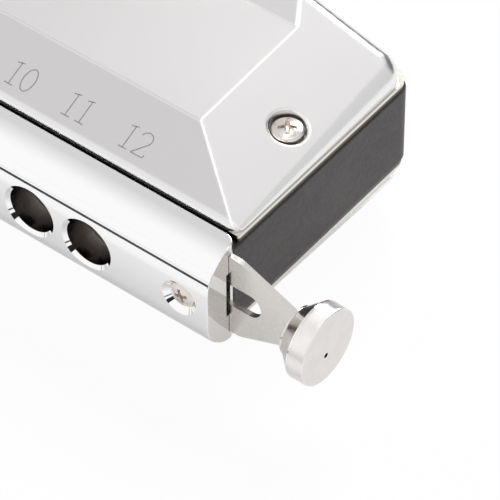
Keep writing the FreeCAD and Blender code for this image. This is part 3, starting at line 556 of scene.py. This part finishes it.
def satin_sheet(metal, burnished, metallic, front_edge):
    """Satin nickel-plated sheet: a milky, slightly cloudy sheen, smoother in its bends, with a painted
    highlight on the bends and along the front edge.
    """
    made, tree = new_material("satin_plated_sheet")
    place = add_node(tree, "ShaderNodeTexCoord").outputs["Object"]
    # the bath leaves clouds about 14 mm across
    cloud = add_node(tree, "ShaderNodeTexNoise", {"Vector": place, "Scale": 70.0, "Detail": 2.0})
    # the blasted grain is about 0.05 mm, drawn at 0.3 mm so that it shows
    grain = add_node(tree, "ShaderNodeTexNoise", {"Vector": place, "Scale": 3200.0, "Detail": 2.0})
    rough = add_node(tree, "ShaderNodeMapRange", {"Value": cloud.outputs["Fac"], "From Min": 0.2,
                                                  "From Max": 0.8, "To Min": 0.39, "To Max": 0.45})
    tint = add_node(tree, "ShaderNodeMapRange", {"Value": cloud.outputs["Fac"], "From Min": 0.1,
                                                 "From Max": 0.9, "To Min": 0.985, "To Max": 1.0})
    shade = add_node(tree, "ShaderNodeVectorMath", {0: metal[:3], "Scale": tint.outputs["Result"]},
                     operation="SCALE")
    # the press leaves its sharpest folds about this round
    folds = add_node(tree, "ShaderNodeBevel", {"Radius": FOLD_RADIUS}, samples=8)
    bump = add_node(tree, "ShaderNodeBump", {"Height": grain.outputs["Fac"], "Strength": 0.08,
                                             "Distance": 0.00002, "Normal": folds.outputs["Normal"]})
    bend = bend_share(tree, folds.outputs["Normal"])
    # painted highlight along the front edge too
    depth = add_node(tree, "ShaderNodeSeparateXYZ", {"Vector": place}).outputs["Y"]
    front = add_node(tree, "ShaderNodeMapRange", {
        "Value": depth, "From Min": front_edge + BRIGHT_EDGE, "From Max": front_edge + BRIGHT_EDGE_END,
        "To Min": 1.0, "To Max": 0.0})
    bend = add_node(tree, "ShaderNodeMath", {0: bend.outputs["Result"], 1: front.outputs["Result"]},
                    operation="MAXIMUM")
    worn = add_node(tree, "ShaderNodeMix", {"Factor": bend.outputs["Value"], "A": rough.outputs["Result"],
                                            "B": BEND_ROUGHNESS}, data_type="FLOAT")
    # painted highlight: the bends and the front edge turn to the near-white highlight colour
    painted_highlight = add_node(tree, "ShaderNodeMix", {"Factor": bend.outputs["Value"], "A": shade.outputs["Vector"],
                                              "B": burnished}, data_type="RGBA")
    shader = add_node(tree, "ShaderNodeBsdfPrincipled", {
        "Base Color": painted_highlight.outputs["Result"], "Metallic": metallic, "Roughness": worn.outputs["Result"],
        "Normal": bump.outputs["Normal"]})
    finish_material(tree, shader.outputs["BSDF"])
    return made


class HARMONICA_OT_covers(bpy.types.Operator):
    """Finish both covers in satin plate"""

    bl_idname = "harmonica.covers"
    bl_label = "Covers"

    def execute(self, context):
        covers = context.scene.harmonica_covers
        front_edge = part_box("upper_cover")[0].y
        sheet = satin_sheet(list(covers.metal), list(covers.burnished), covers.metallic, front_edge)
        give(["upper_cover", "lower_cover"], sheet)
        return {"FINISHED"}


# Mouthpiece

class HarmonicaMouthpiece(bpy.types.PropertyGroup):
    """The bright mouthpiece with its round holes."""

    bore_radius: size("Bore radius", "Radius of a mouth hole", 3.55)
    chrome: colour("Chrome", "Colour of the chrome plate", "fafafa")
    # painted shade: the dark grey colour inside the holes
    bore: colour("Bore", "Colour inside the holes, where the plating is thin", "7d7875")
    # painted shade: the greyer colour of the mouthpiece's flat ends
    end: colour("End", "Colour of the sawn, thinly plated ends", "d8d5d2")


def bright_chrome(chrome):
    """Chrome plate on buffed brass: a mirror, with the faint ripple that buffing leaves."""
    made, tree = new_material("chrome_plate")
    place = add_node(tree, "ShaderNodeTexCoord").outputs["Object"]
    # the ripple is about 7 mm from crest to crest, and the wipe marks are about 11 mm across
    ripple = add_node(tree, "ShaderNodeTexNoise", {"Vector": place, "Scale": 140.0, "Detail": 1.0})
    wipe = add_node(tree, "ShaderNodeTexNoise", {"Vector": place, "Scale": 90.0, "Detail": 4.0})
    rough = add_node(tree, "ShaderNodeMapRange", {"Value": wipe.outputs["Fac"], "From Min": 0.45,
                                                  "From Max": 0.75, "To Min": 0.03, "To Max": 0.07})
    bump = add_node(tree, "ShaderNodeBump", {"Height": ripple.outputs["Fac"], "Strength": 0.02,
                                             "Distance": 0.0002})
    shader = add_node(tree, "ShaderNodeBsdfPrincipled", {
        "Base Color": chrome, "Metallic": 1.0, "Roughness": rough.outputs["Result"],
        "Normal": bump.outputs["Normal"]})
    finish_material(tree, shader.outputs["BSDF"])
    return made


def thin_plating(bore):
    """Bore of drilled brass, streaked by the drill, drawn grey and dark as painted shade."""
    made, tree = new_material("thin_plating")
    place = add_node(tree, "ShaderNodeTexCoord").outputs["Object"]
    # the drill's rings are about 0.1 mm apart, drawn at 0.3 mm so that they show
    stretched = add_node(tree, "ShaderNodeMapping", {"Vector": place, "Scale": (500.0, 3500.0, 500.0)})
    lines = add_node(tree, "ShaderNodeTexNoise", {"Vector": stretched.outputs["Vector"], "Scale": 1.0,
                                                  "Detail": 2.0})
    rough = add_node(tree, "ShaderNodeMapRange", {
        "Value": lines.outputs["Fac"], "To Min": 0.08, "To Max": 0.26})
    shader = add_node(tree, "ShaderNodeBsdfPrincipled", {
        "Base Color": bore, "Metallic": 1.0, "Roughness": rough.outputs["Result"]})
    finish_material(tree, shader.outputs["BSDF"])
    return made


class HARMONICA_OT_mouthpiece(bpy.types.Operator):
    """Finish the mouthpiece in bright chrome, with painted shade inside its holes and on its ends"""

    bl_idname = "harmonica.mouthpiece"
    bl_label = "Mouthpiece"

    def execute(self, context):
        mouthpiece = context.scene.harmonica_mouthpiece
        give(["mouthpiece"], bright_chrome(list(mouthpiece.chrome)))
        mesh = cad("mouthpiece").data
        mesh.materials.append(thin_plating(list(mouthpiece.bore)))
        # painted shade: the flat ends mirror as the rest does, only in a greyer, darker colour
        mesh.materials.append(mottled("sawn_plated_end", list(mouthpiece.end), 1.0, 0.06, 0.8))
        centres, normals = [self.of_faces(mesh, kind) for kind in ("center", "normal")]
        across = np.abs(centres[:, 0])
        from_hole = (centres[:, 0] / HOLE_PITCH + 0.5 * (HOLE_COUNT + 1)) % 1
        from_hole = np.minimum(from_hole, 1 - from_hole) * HOLE_PITCH
        in_bore = np.hypot(from_hole, centres[:, 2]) < mouthpiece.bore_radius * 1.003
        in_bore &= across < HOLE_PITCH * HOLE_COUNT / 2
        at_end = (across > across.max() - 0.05 * MM) & (np.abs(normals[:, 0]) > 0.99)
        mesh.polygons.foreach_set("material_index", (in_bore + 2 * at_end).astype(np.int32))
        return {"FINISHED"}

    def of_faces(self, mesh, kind):
        """The centre or the normal of every face, one row each."""
        values = np.zeros(len(mesh.polygons) * 3, np.float32)
        mesh.polygons.foreach_get(kind, values)
        return values.reshape(-1, 3)


# Comb

class HarmonicaComb(bpy.types.PropertyGroup):
    """The moulded comb."""

    dark: colour("Dark", "Darker tone of the plastic's mottle", "2e2929")
    light: colour("Light", "Lighter tone of the plastic's mottle", "483f40")


def moulded_black(dark, light):
    """Black moulded ABS: satin, with the fine mottle of a textured mould."""
    made, tree = new_material("moulded_black_plastic")
    place = add_node(tree, "ShaderNodeTexCoord").outputs["Object"]
    # the mould's texture is about 0.5 mm across, and the flow marks are about 6 mm
    mottle = add_node(tree, "ShaderNodeTexNoise", {"Vector": place, "Scale": 1800.0, "Detail": 3.0})
    cloud = add_node(tree, "ShaderNodeTexNoise", {"Vector": place, "Scale": 160.0, "Detail": 3.0})
    both = add_node(tree, "ShaderNodeMath", {0: mottle.outputs["Fac"], 1: cloud.outputs["Fac"]},
                    operation="MULTIPLY")
    share = add_node(tree, "ShaderNodeMapRange", {"Value": both.outputs["Value"], "From Min": 0.14,
                                                  "From Max": 0.36})
    mixed = add_node(tree, "ShaderNodeMix", {"Factor": share.outputs["Result"], "A": dark, "B": light},
                     data_type="RGBA")
    bump = add_node(tree, "ShaderNodeBump", {"Height": mottle.outputs["Fac"], "Strength": 0.4,
                                             "Distance": 0.00005})
    shader = add_node(tree, "ShaderNodeBsdfPrincipled", {
        "Base Color": mixed.outputs["Result"], "Roughness": 0.45, "Normal": bump.outputs["Normal"]})
    finish_material(tree, shader.outputs["BSDF"])
    return made


class HARMONICA_OT_comb(bpy.types.Operator):
    """Finish the comb in moulded black plastic"""

    bl_idname = "harmonica.comb"
    bl_label = "Comb"

    def execute(self, context):
        comb = context.scene.harmonica_comb
        give(["comb"], moulded_black(list(comb.dark), list(comb.light)))
        return {"FINISHED"}


# Reed plates

class HarmonicaReeds(bpy.types.PropertyGroup):
    """Both reed plates with what is on them."""

    # painted shade begins on a plate's edge below this height, towards the comb
    edge_middle: size("Edge middle", "Height of the line between the two bands of a plate's cut edge", 7.1)
    plate: colour("Plate", "Colour of the plates' cut brass edges", "e6e1d8")
    reed: colour("Reed", "Colour of the reeds and rivets", "d8bd7a")
    film: colour("Valve film", "Colour of the valves", "e4e2da")
    screws: colour("Screws", "Colour of the plates' screws", "9c9b9a")


def cut_brass(plate, edge_middle):
    """Sheared brass plate, streaked by the blade, with painted shade on its edge towards the comb and along
    its long edges.
    """
    made, tree = new_material("sheared_brass")
    place = add_node(tree, "ShaderNodeTexCoord").outputs["Object"]
    # the blade's streaks are about 0.1 mm high, drawn at 0.4 mm so that they show
    streak = add_node(tree, "ShaderNodeMapping", {"Vector": place, "Scale": (60.0, 60.0, 2400.0)})
    noise = add_node(tree, "ShaderNodeTexNoise", {"Vector": streak.outputs["Vector"], "Scale": 1.0})
    rough = add_node(tree, "ShaderNodeMapRange", {
        "Value": noise.outputs["Fac"], "To Min": 0.15, "To Max": 0.3})
    parts = add_node(tree, "ShaderNodeSeparateXYZ", {"Vector": place}).outputs
    height = add_node(tree, "ShaderNodeMath", {0: parts["Z"]}, operation="ABSOLUTE")
    # painted shade: towards the comb the edge is drawn far darker
    unshaded = add_node(tree, "ShaderNodeMapRange", {
        "Value": height.outputs["Value"], "From Min": edge_middle - 0.06 * MM,
        "From Max": edge_middle + 0.06 * MM, "To Min": 0.12, "To Max": 1.0})
    facing = add_node(tree, "ShaderNodeSeparateXYZ", {
        "Vector": add_node(tree, "ShaderNodeTexCoord").outputs["Normal"]}).outputs
    to_player = add_node(tree, "ShaderNodeMath", {0: facing["Y"]}, operation="ABSOLUTE")
    # painted shade: the long edges, facing the player or away, are drawn nearly black; the ends keep their
    # colour
    facing_unshaded = add_node(tree, "ShaderNodeMapRange", {"Value": to_player.outputs["Value"], "From Min": 0.9,
                                                     "From Max": 0.98, "To Min": 1.0, "To Max": 0.1})
    share = add_node(tree, "ShaderNodeMath", {0: unshaded.outputs["Result"], 1: facing_unshaded.outputs["Result"]},
                     operation="MULTIPLY")
    tone = add_node(tree, "ShaderNodeVectorMath", {0: plate[:3], "Scale": share.outputs["Value"]},
                    operation="SCALE")
    shader = add_node(tree, "ShaderNodeBsdfPrincipled", {
        "Base Color": tone.outputs["Vector"], "Metallic": 1.0, "Roughness": rough.outputs["Result"]})
    finish_material(tree, shader.outputs["BSDF"])
    return made


def mottled(name, tone, metallic, roughness, grain):
    """A finish whose roughness varies in fine mottle, for small pieces and the stage. Its grain is in mm."""
    made, tree = new_material(name)
    place = add_node(tree, "ShaderNodeTexCoord").outputs["Object"]
    noise = add_node(tree, "ShaderNodeTexNoise", {"Vector": place, "Scale": 1 / (grain * MM), "Detail": 2.0})
    rough = add_node(tree, "ShaderNodeMapRange", {
        "Value": noise.outputs["Fac"], "To Min": roughness * 0.8, "To Max": roughness * 1.2})
    shader = add_node(tree, "ShaderNodeBsdfPrincipled", {
        "Base Color": tone, "Metallic": metallic, "Roughness": rough.outputs["Result"]})
    finish_material(tree, shader.outputs["BSDF"])
    return made


class HARMONICA_OT_reed_plates(bpy.types.Operator):
    """Finish the reed plates, reeds, rivets, valves and plate screws"""

    bl_idname = "harmonica.reed_plates"
    bl_label = "Reed plates"

    def execute(self, context):
        reeds = context.scene.harmonica_reeds
        sides = ("upper_", "lower_")
        give([s + "reed_plate" for s in sides], cut_brass(list(reeds.plate), reeds.edge_middle))
        # the file leaves reeds satin, with a warm gleam
        give([s + n for s in sides for n in ("blow_reeds", "draw_reeds", "reed_rivets")],
             mottled("filed_reed_brass", list(reeds.reed), 1.0, 0.3, 0.6))
        # thin polymer film, cream and half matt
        give([s + n for s in sides for n in ("inner_valves", "outer_valves")],
             mottled("valve_film", list(reeds.film), 0.0, 0.45, 1.2))
        # unplated steel, grey with a dull gleam
        give([s + "plate_screws" for s in sides],
             mottled("plain_screw_steel", list(reeds.screws), 1.0, 0.35, 0.6))
        return {"FINISHED"}


# Slide

class HarmonicaSlide(bpy.types.PropertyGroup):
    """The slide blade and what guides, stops and springs it."""

    steel: colour("Steel", "Colour of the nickel-plated steel", "f2eeea")
    spring: colour("Spring", "Colour of the spring wire", "a9a7a4")
    rubber: colour("Rubber", "Colour of the bumpers", "1c1c1c")


def satin_nickel(steel):
    """Nickel-plated steel strip: satin, with faint lengthwise rolling lines and cloudy handling marks."""
    made, tree = new_material("satin_nickel")
    place = add_node(tree, "ShaderNodeTexCoord").outputs["Object"]
    # the rolling lines are about 0.05 mm apart, drawn at 0.3 mm so that they show
    stretched = add_node(tree, "ShaderNodeMapping", {"Vector": place, "Scale": (120.0, 3500.0, 3500.0)})
    lines = add_node(tree, "ShaderNodeTexNoise", {"Vector": stretched.outputs["Vector"], "Scale": 1.0,
                                                  "Detail": 2.0})
    cloud = add_node(tree, "ShaderNodeTexNoise", {"Vector": place, "Scale": 300.0, "Detail": 3.0})
    both = add_node(tree, "ShaderNodeMath", {0: lines.outputs["Fac"], 1: cloud.outputs["Fac"]},
                    operation="MULTIPLY")
    rough = add_node(tree, "ShaderNodeMapRange", {"Value": both.outputs["Value"], "From Min": 0.12,
                                                  "From Max": 0.4, "To Min": 0.26, "To Max": 0.3})
    shader = add_node(tree, "ShaderNodeBsdfPrincipled", {
        "Base Color": steel, "Metallic": 1.0, "Roughness": rough.outputs["Result"]})
    finish_material(tree, shader.outputs["BSDF"])
    return made


class HARMONICA_OT_slide(bpy.types.Operator):
    """Finish the slide blade, its backing plate, bumpers, spring and spring post"""

    bl_idname = "harmonica.slide"
    bl_label = "Slide"

    def execute(self, context):
        slide = context.scene.harmonica_slide
        give(["slide_blade", "slide_backing_plate"], satin_nickel(list(slide.steel)))
        # drawn wire, oiled and grey
        give(["slide_spring", "spring_post"], mottled("spring_steel", list(slide.spring), 1.0, 0.3, 0.6))
        # black and matt, as moulded tube is
        give(["slide_bumpers"], mottled("soft_rubber", list(slide.rubber), 0.0, 0.7, 1.0))
        return {"FINISHED"}


# Studio

TABLE_SIDES = (-1200, 1200, -1200, 1200)  # x and y limits in millimetres
RUNNER_SIDES = (-400, 300, -155, -103)
RUNNER_LIFT = 0.2 * MM
TABLE_SHOWN_WHITE = 0.96
# painted shadow in reflections: the share of the table's glow that mirrors see close to the object and far
# from it, and the run between
MIRRORED_NEAR = 0.45
MIRRORED_FAR = 0.8
MIRRORED_RUN = 15 * MM
# name, place, width and length in metres, property with its power, whether it lights matt and shiny surfaces
LAMPS = (
    ("top_softbox", (-0.096, 0.6, 0.794), 0.5, 0.5, "top_power", True, False),
    ("key_softbox", (-0.2, 0.78, 0.59), 0.3, 0.3, "key_power", False, True),
    ("overhead_strip", (-0.14, 0.28, 0.95), 0.16, 0.42, "strip_power", False, True),
)
# how bright a mirror sees the room by height, from straight down at 0 to straight up at 1: two darker seams
ROOM_SEAMS = ((0.0, 1.0), (0.36, 1.0), (0.37, 0.82), (0.375, 1.0), (0.5, 1.0), (0.505, 0.86), (0.51, 1.0))
STAND_DIRECTION = (0.536, -0.812, 0.229)


class HarmonicaStudio(bpy.types.PropertyGroup):
    """Camera and light."""

    azimuth: FloatProperty(name="Azimuth", description="Turn of the camera round the object from the front",
                           default=math.radians(37.914), subtype="ANGLE")
    elevation: FloatProperty(name="Elevation", description="Height of the camera above the horizon",
                             default=math.radians(46.721), subtype="ANGLE")
    roll: FloatProperty(name="Roll", description="Turn of the camera about its view axis",
                        default=math.radians(-0.101), subtype="ANGLE")
    distance: size("Distance", "From the camera to the point it looks at", 546.35)
    target: FloatVectorProperty(name="Target", description="Point that the camera looks at",
                                default=(68.183 * MM, -31.036 * MM, -0.882 * MM), subtype="TRANSLATION")
    lens: FloatProperty(name="Lens", description="Focal length on a sensor 36 mm wide, in millimetres",
                        default=310.05)
    top_power: FloatProperty(name="Top lamp", description="Power of the lamp that lights what is matt",
                             default=11.5, unit="POWER")
    key_power: FloatProperty(name="Key lamp", description="Power of the lamp behind, seen in what shines",
                             default=2.85, unit="POWER")
    strip_power: FloatProperty(name="Strip lamp", description="Power of the overhead strip seen on folds",
                               default=0.42, unit="POWER")
    room_light: FloatProperty(name="Room light", description="Strength of the even light from the room",
                              default=0.12)


def white_table():
    """Matt white paper that reads as white and keeps a faint shadow of what stands on it."""
    made, tree = new_material("white_paper")
    path = add_node(tree, "ShaderNodeLightPath").outputs
    shown = add_node(tree, "ShaderNodeMath", {0: path["Is Camera Ray"], 1: TABLE_SHOWN_WHITE},
                     operation="MULTIPLY")
    # painted shadow: what a mirror sees of the table glows less close to the object's rectangle, where its
    # shadow would be deepest
    low, high = [Vector(corner) for corner in cad_box]
    middle, half = (low + high) / 2, (high - low) / 2
    place = add_node(tree, "ShaderNodeTexCoord").outputs["Object"]
    for operation, value in (("SUBTRACT", middle), ("ABSOLUTE", None), ("SUBTRACT", half),
                             ("MAXIMUM", Vector())):
        inputs = {0: place} if value is None else {0: place, 1: value}
        place = add_node(tree, "ShaderNodeVectorMath", inputs, operation=operation).outputs["Vector"]
    away = add_node(tree, "ShaderNodeVectorMath", {0: place}, operation="LENGTH")
    glow_outside_shadow = add_node(tree, "ShaderNodeMapRange", {
        "Value": away.outputs["Value"], "From Max": MIRRORED_RUN, "To Min": MIRRORED_NEAR,
        "To Max": MIRRORED_FAR})
    mirrored = add_node(tree, "ShaderNodeMath", {0: path["Is Glossy Ray"], 1: glow_outside_shadow.outputs["Result"]},
                        operation="MULTIPLY")
    share = add_node(tree, "ShaderNodeMath", {0: shown.outputs["Value"], 1: mirrored.outputs["Value"]},
                     operation="ADD")
    paper = add_node(tree, "ShaderNodeBsdfDiffuse", {"Color": linear("fafafa")})
    glow = add_node(tree, "ShaderNodeEmission", {"Color": linear("ffffff"), "Strength": 1.0})
    both = add_node(tree, "ShaderNodeMixShader", {0: share.outputs["Value"], 1: paper.outputs["BSDF"],
                                                  2: glow.outputs["Emission"]})
    finish_material(tree, both.outputs["Shader"])
    return made


class HARMONICA_OT_studio(bpy.types.Operator):
    """Set the camera, the white table and the soft light"""

    bl_idname = "harmonica.studio"
    bl_label = "Studio"

    def execute(self, context):
        studio = context.scene.harmonica_studio
        self.add_camera(context.scene, studio)
        self.add_table(context.scene)
        self.add_lamps(context.scene, studio)
        self.add_room(context.scene, studio)
        context.scene.view_settings.view_transform = "Standard"
        return {"FINISHED"}

    def add_camera(self, scene, studio):
        turn = Euler((math.pi / 2 - studio.elevation, 0, studio.azimuth)).to_matrix()
        turn = turn @ Matrix.Rotation(studio.roll, 3, "Z")
        lens = bpy.data.cameras.new("camera")
        lens.sensor_width = 36
        lens.lens = studio.lens
        lens.clip_end = 10
        camera = bpy.data.objects.new("camera", lens)
        place = Vector(studio.target) + turn @ Vector((0, 0, 1)) * studio.distance
        camera.matrix_world = Matrix.Translation(place) @ turn.to_4x4()
        scene.collection.objects.link(camera)
        scene.camera = camera

    def add_table(self, scene):
        """A white table, and a dark strip lying in front that only mirrors show."""
        low = cad_box[0][2]
        self.add_sheet(scene, "table", TABLE_SIDES, low, white_table())
        # painted reflection: black and matt, seen only in mirrors
        dark_reflection = mottled("dark_table_runner", linear("101010"), 0.0, 0.8, 2.0)
        runner = self.add_sheet(scene, "dark_runner", RUNNER_SIDES, low + RUNNER_LIFT, dark_reflection)
        runner.visible_camera = False
        runner.visible_diffuse = False
        runner.visible_shadow = False

    def add_sheet(self, scene, name, sides, height, material):
        """Flat sheet between the given sides, in millimetres."""
        x0, x1, y0, y1 = [side * MM for side in sides]
        mesh = bpy.data.meshes.new(name)
        mesh.from_pydata([(x0, y0, height), (x1, y0, height), (x1, y1, height), (x0, y1, height)], [],
                         [(0, 1, 2, 3)])
        mesh.materials.append(material)
        sheet = bpy.data.objects.new(name, mesh)
        scene.collection.objects.link(sheet)
        return sheet

    def add_lamps(self, scene, studio):
        """A top lamp lights what is matt. A key lamp behind and an overhead strip gleam on what shines."""
        for name, place, width, length, power, matt, shiny in LAMPS:
            lamp = bpy.data.lights.new(name, "AREA")
            lamp.shape = "RECTANGLE"
            lamp.size = width
            lamp.size_y = length
            lamp.energy = getattr(studio, power)
            holder = bpy.data.objects.new(name, lamp)
            holder.location = place
            # each lamp hangs a metre from the origin and faces it
            holder.rotation_euler = (-math.asin(place[1]), math.atan2(place[0], place[2]), 0)
            holder.visible_diffuse = matt
            holder.visible_glossy = shiny
            scene.collection.objects.link(holder)

    def add_room(self, scene, studio):
        """White room. A mirror sees it bright in front, dark far behind, with seams and a dark stand."""
        world = bpy.data.worlds.new("studio_room")
        scene.world = world
        world.use_nodes = True
        tree = world.node_tree
        tree.nodes.clear()
        path = add_node(tree, "ShaderNodeLightPath").outputs
        seen = add_node(tree, "ShaderNodeMath", {0: path["Is Glossy Ray"], 1: path["Is Transmission Ray"]},
                        operation="MAXIMUM")
        direction = add_node(tree, "ShaderNodeTexCoord").outputs["Generated"]
        parts = add_node(tree, "ShaderNodeSeparateXYZ", {"Vector": direction}).outputs
        height = add_node(tree, "ShaderNodeValToRGB", {"Fac": parts["Z"]})
        ramp = height.color_ramp
        while len(ramp.elements) < len(ROOM_SEAMS):
            ramp.elements.new(1.0)
        for element, (place, grey) in zip(ramp.elements, ROOM_SEAMS):
            element.position = place
            element.color = (grey, grey, grey, 1)
        # it dims from the camera's side to the far side
        far = add_node(tree, "ShaderNodeMapRange", {"Value": parts["Y"], "From Min": -0.6, "From Max": 0.55,
                                                    "To Min": 1.0, "To Max": 0.68})
        # the stand is a dark disc beside the camera
        stand = add_node(tree, "ShaderNodeVectorMath", {0: direction, 1: STAND_DIRECTION},
                         operation="DOT_PRODUCT")
        clear = add_node(tree, "ShaderNodeMapRange", {"Value": stand.outputs["Value"], "From Min": 0.985,
                                                      "From Max": 0.988, "To Min": 1.0, "To Max": 0.02})
        dim = add_node(tree, "ShaderNodeMath", {0: far.outputs["Result"], 1: clear.outputs["Result"]},
                       operation="MULTIPLY")
        # straight behind the object it is nearly black
        rear = add_node(tree, "ShaderNodeMapRange", {"Value": parts["Y"], "From Min": 0.72, "From Max": 0.85,
                                                     "To Min": 1.0, "To Max": 0.1})
        level = add_node(tree, "ShaderNodeMath", {0: dim.outputs["Value"], 1: rear.outputs["Result"]},
                         operation="MULTIPLY")
        mirror = add_node(tree, "ShaderNodeBackground", {"Color": height.outputs["Color"],
                                                         "Strength": level.outputs["Value"]})
        soft = add_node(tree, "ShaderNodeBackground", {"Color": linear("ffffff"),
                                                       "Strength": studio.room_light})
        white = add_node(tree, "ShaderNodeBackground", {"Color": linear("ffffff"), "Strength": 1.0})
        lit = add_node(tree, "ShaderNodeMixShader", {0: seen.outputs["Value"], 1: soft.outputs["Background"],
                                                     2: mirror.outputs["Background"]})
        shown = add_node(tree, "ShaderNodeMixShader", {0: path["Is Camera Ray"], 1: lit.outputs["Shader"],
                                                       2: white.outputs["Background"]})
        add_node(tree, "ShaderNodeOutputWorld", {"Surface": shown.outputs["Shader"]})


class HARMONICA_PT_panel(bpy.types.Panel):
    """Lists the steps that dress the harmonica."""

    bl_label = "Chromatic harmonica"
    bl_idname = "HARMONICA_PT_panel"
    bl_space_type = "VIEW_3D"
    bl_region_type = "UI"
    bl_category = "Harmonica"

    def draw(self, context):
        for step in STEPS:
            self.layout.operator(step.bl_idname)


GROUPS = {
    "harmonica_covers": HarmonicaCovers,
    "harmonica_mouthpiece": HarmonicaMouthpiece,
    "harmonica_comb": HarmonicaComb,
    "harmonica_reeds": HarmonicaReeds,
    "harmonica_slide": HarmonicaSlide,
    "harmonica_knob": HarmonicaKnob,
    "harmonica_screws": HarmonicaScrews,
    "harmonica_numbers": HarmonicaNumbers,
    "harmonica_studio": HarmonicaStudio,
}
STEPS = (HARMONICA_OT_covers, HARMONICA_OT_mouthpiece, HARMONICA_OT_comb, HARMONICA_OT_reed_plates,
         HARMONICA_OT_slide, HARMONICA_OT_push_knob, HARMONICA_OT_screws, HARMONICA_OT_hole_numbers,
         HARMONICA_OT_studio)
CLASSES = tuple(GROUPS.values()) + STEPS + (HARMONICA_PT_panel,)


def register():
    for kind in CLASSES:
        bpy.utils.register_class(kind)
    for name, kind in GROUPS.items():
        setattr(bpy.types.Scene, name, PointerProperty(type=kind))


def unregister():
    for name in GROUPS:
        delattr(bpy.types.Scene, name)
    for kind in reversed(CLASSES):
        bpy.utils.unregister_class(kind)


def main():
    register()
    bpy.ops.harmonica.covers()
    bpy.ops.harmonica.mouthpiece()
    bpy.ops.harmonica.comb()
    bpy.ops.harmonica.reed_plates()
    bpy.ops.harmonica.slide()
    bpy.ops.harmonica.push_knob()
    bpy.ops.harmonica.screws()
    bpy.ops.harmonica.hole_numbers()
    bpy.ops.harmonica.studio()


if __name__ == "__main__":
    main()
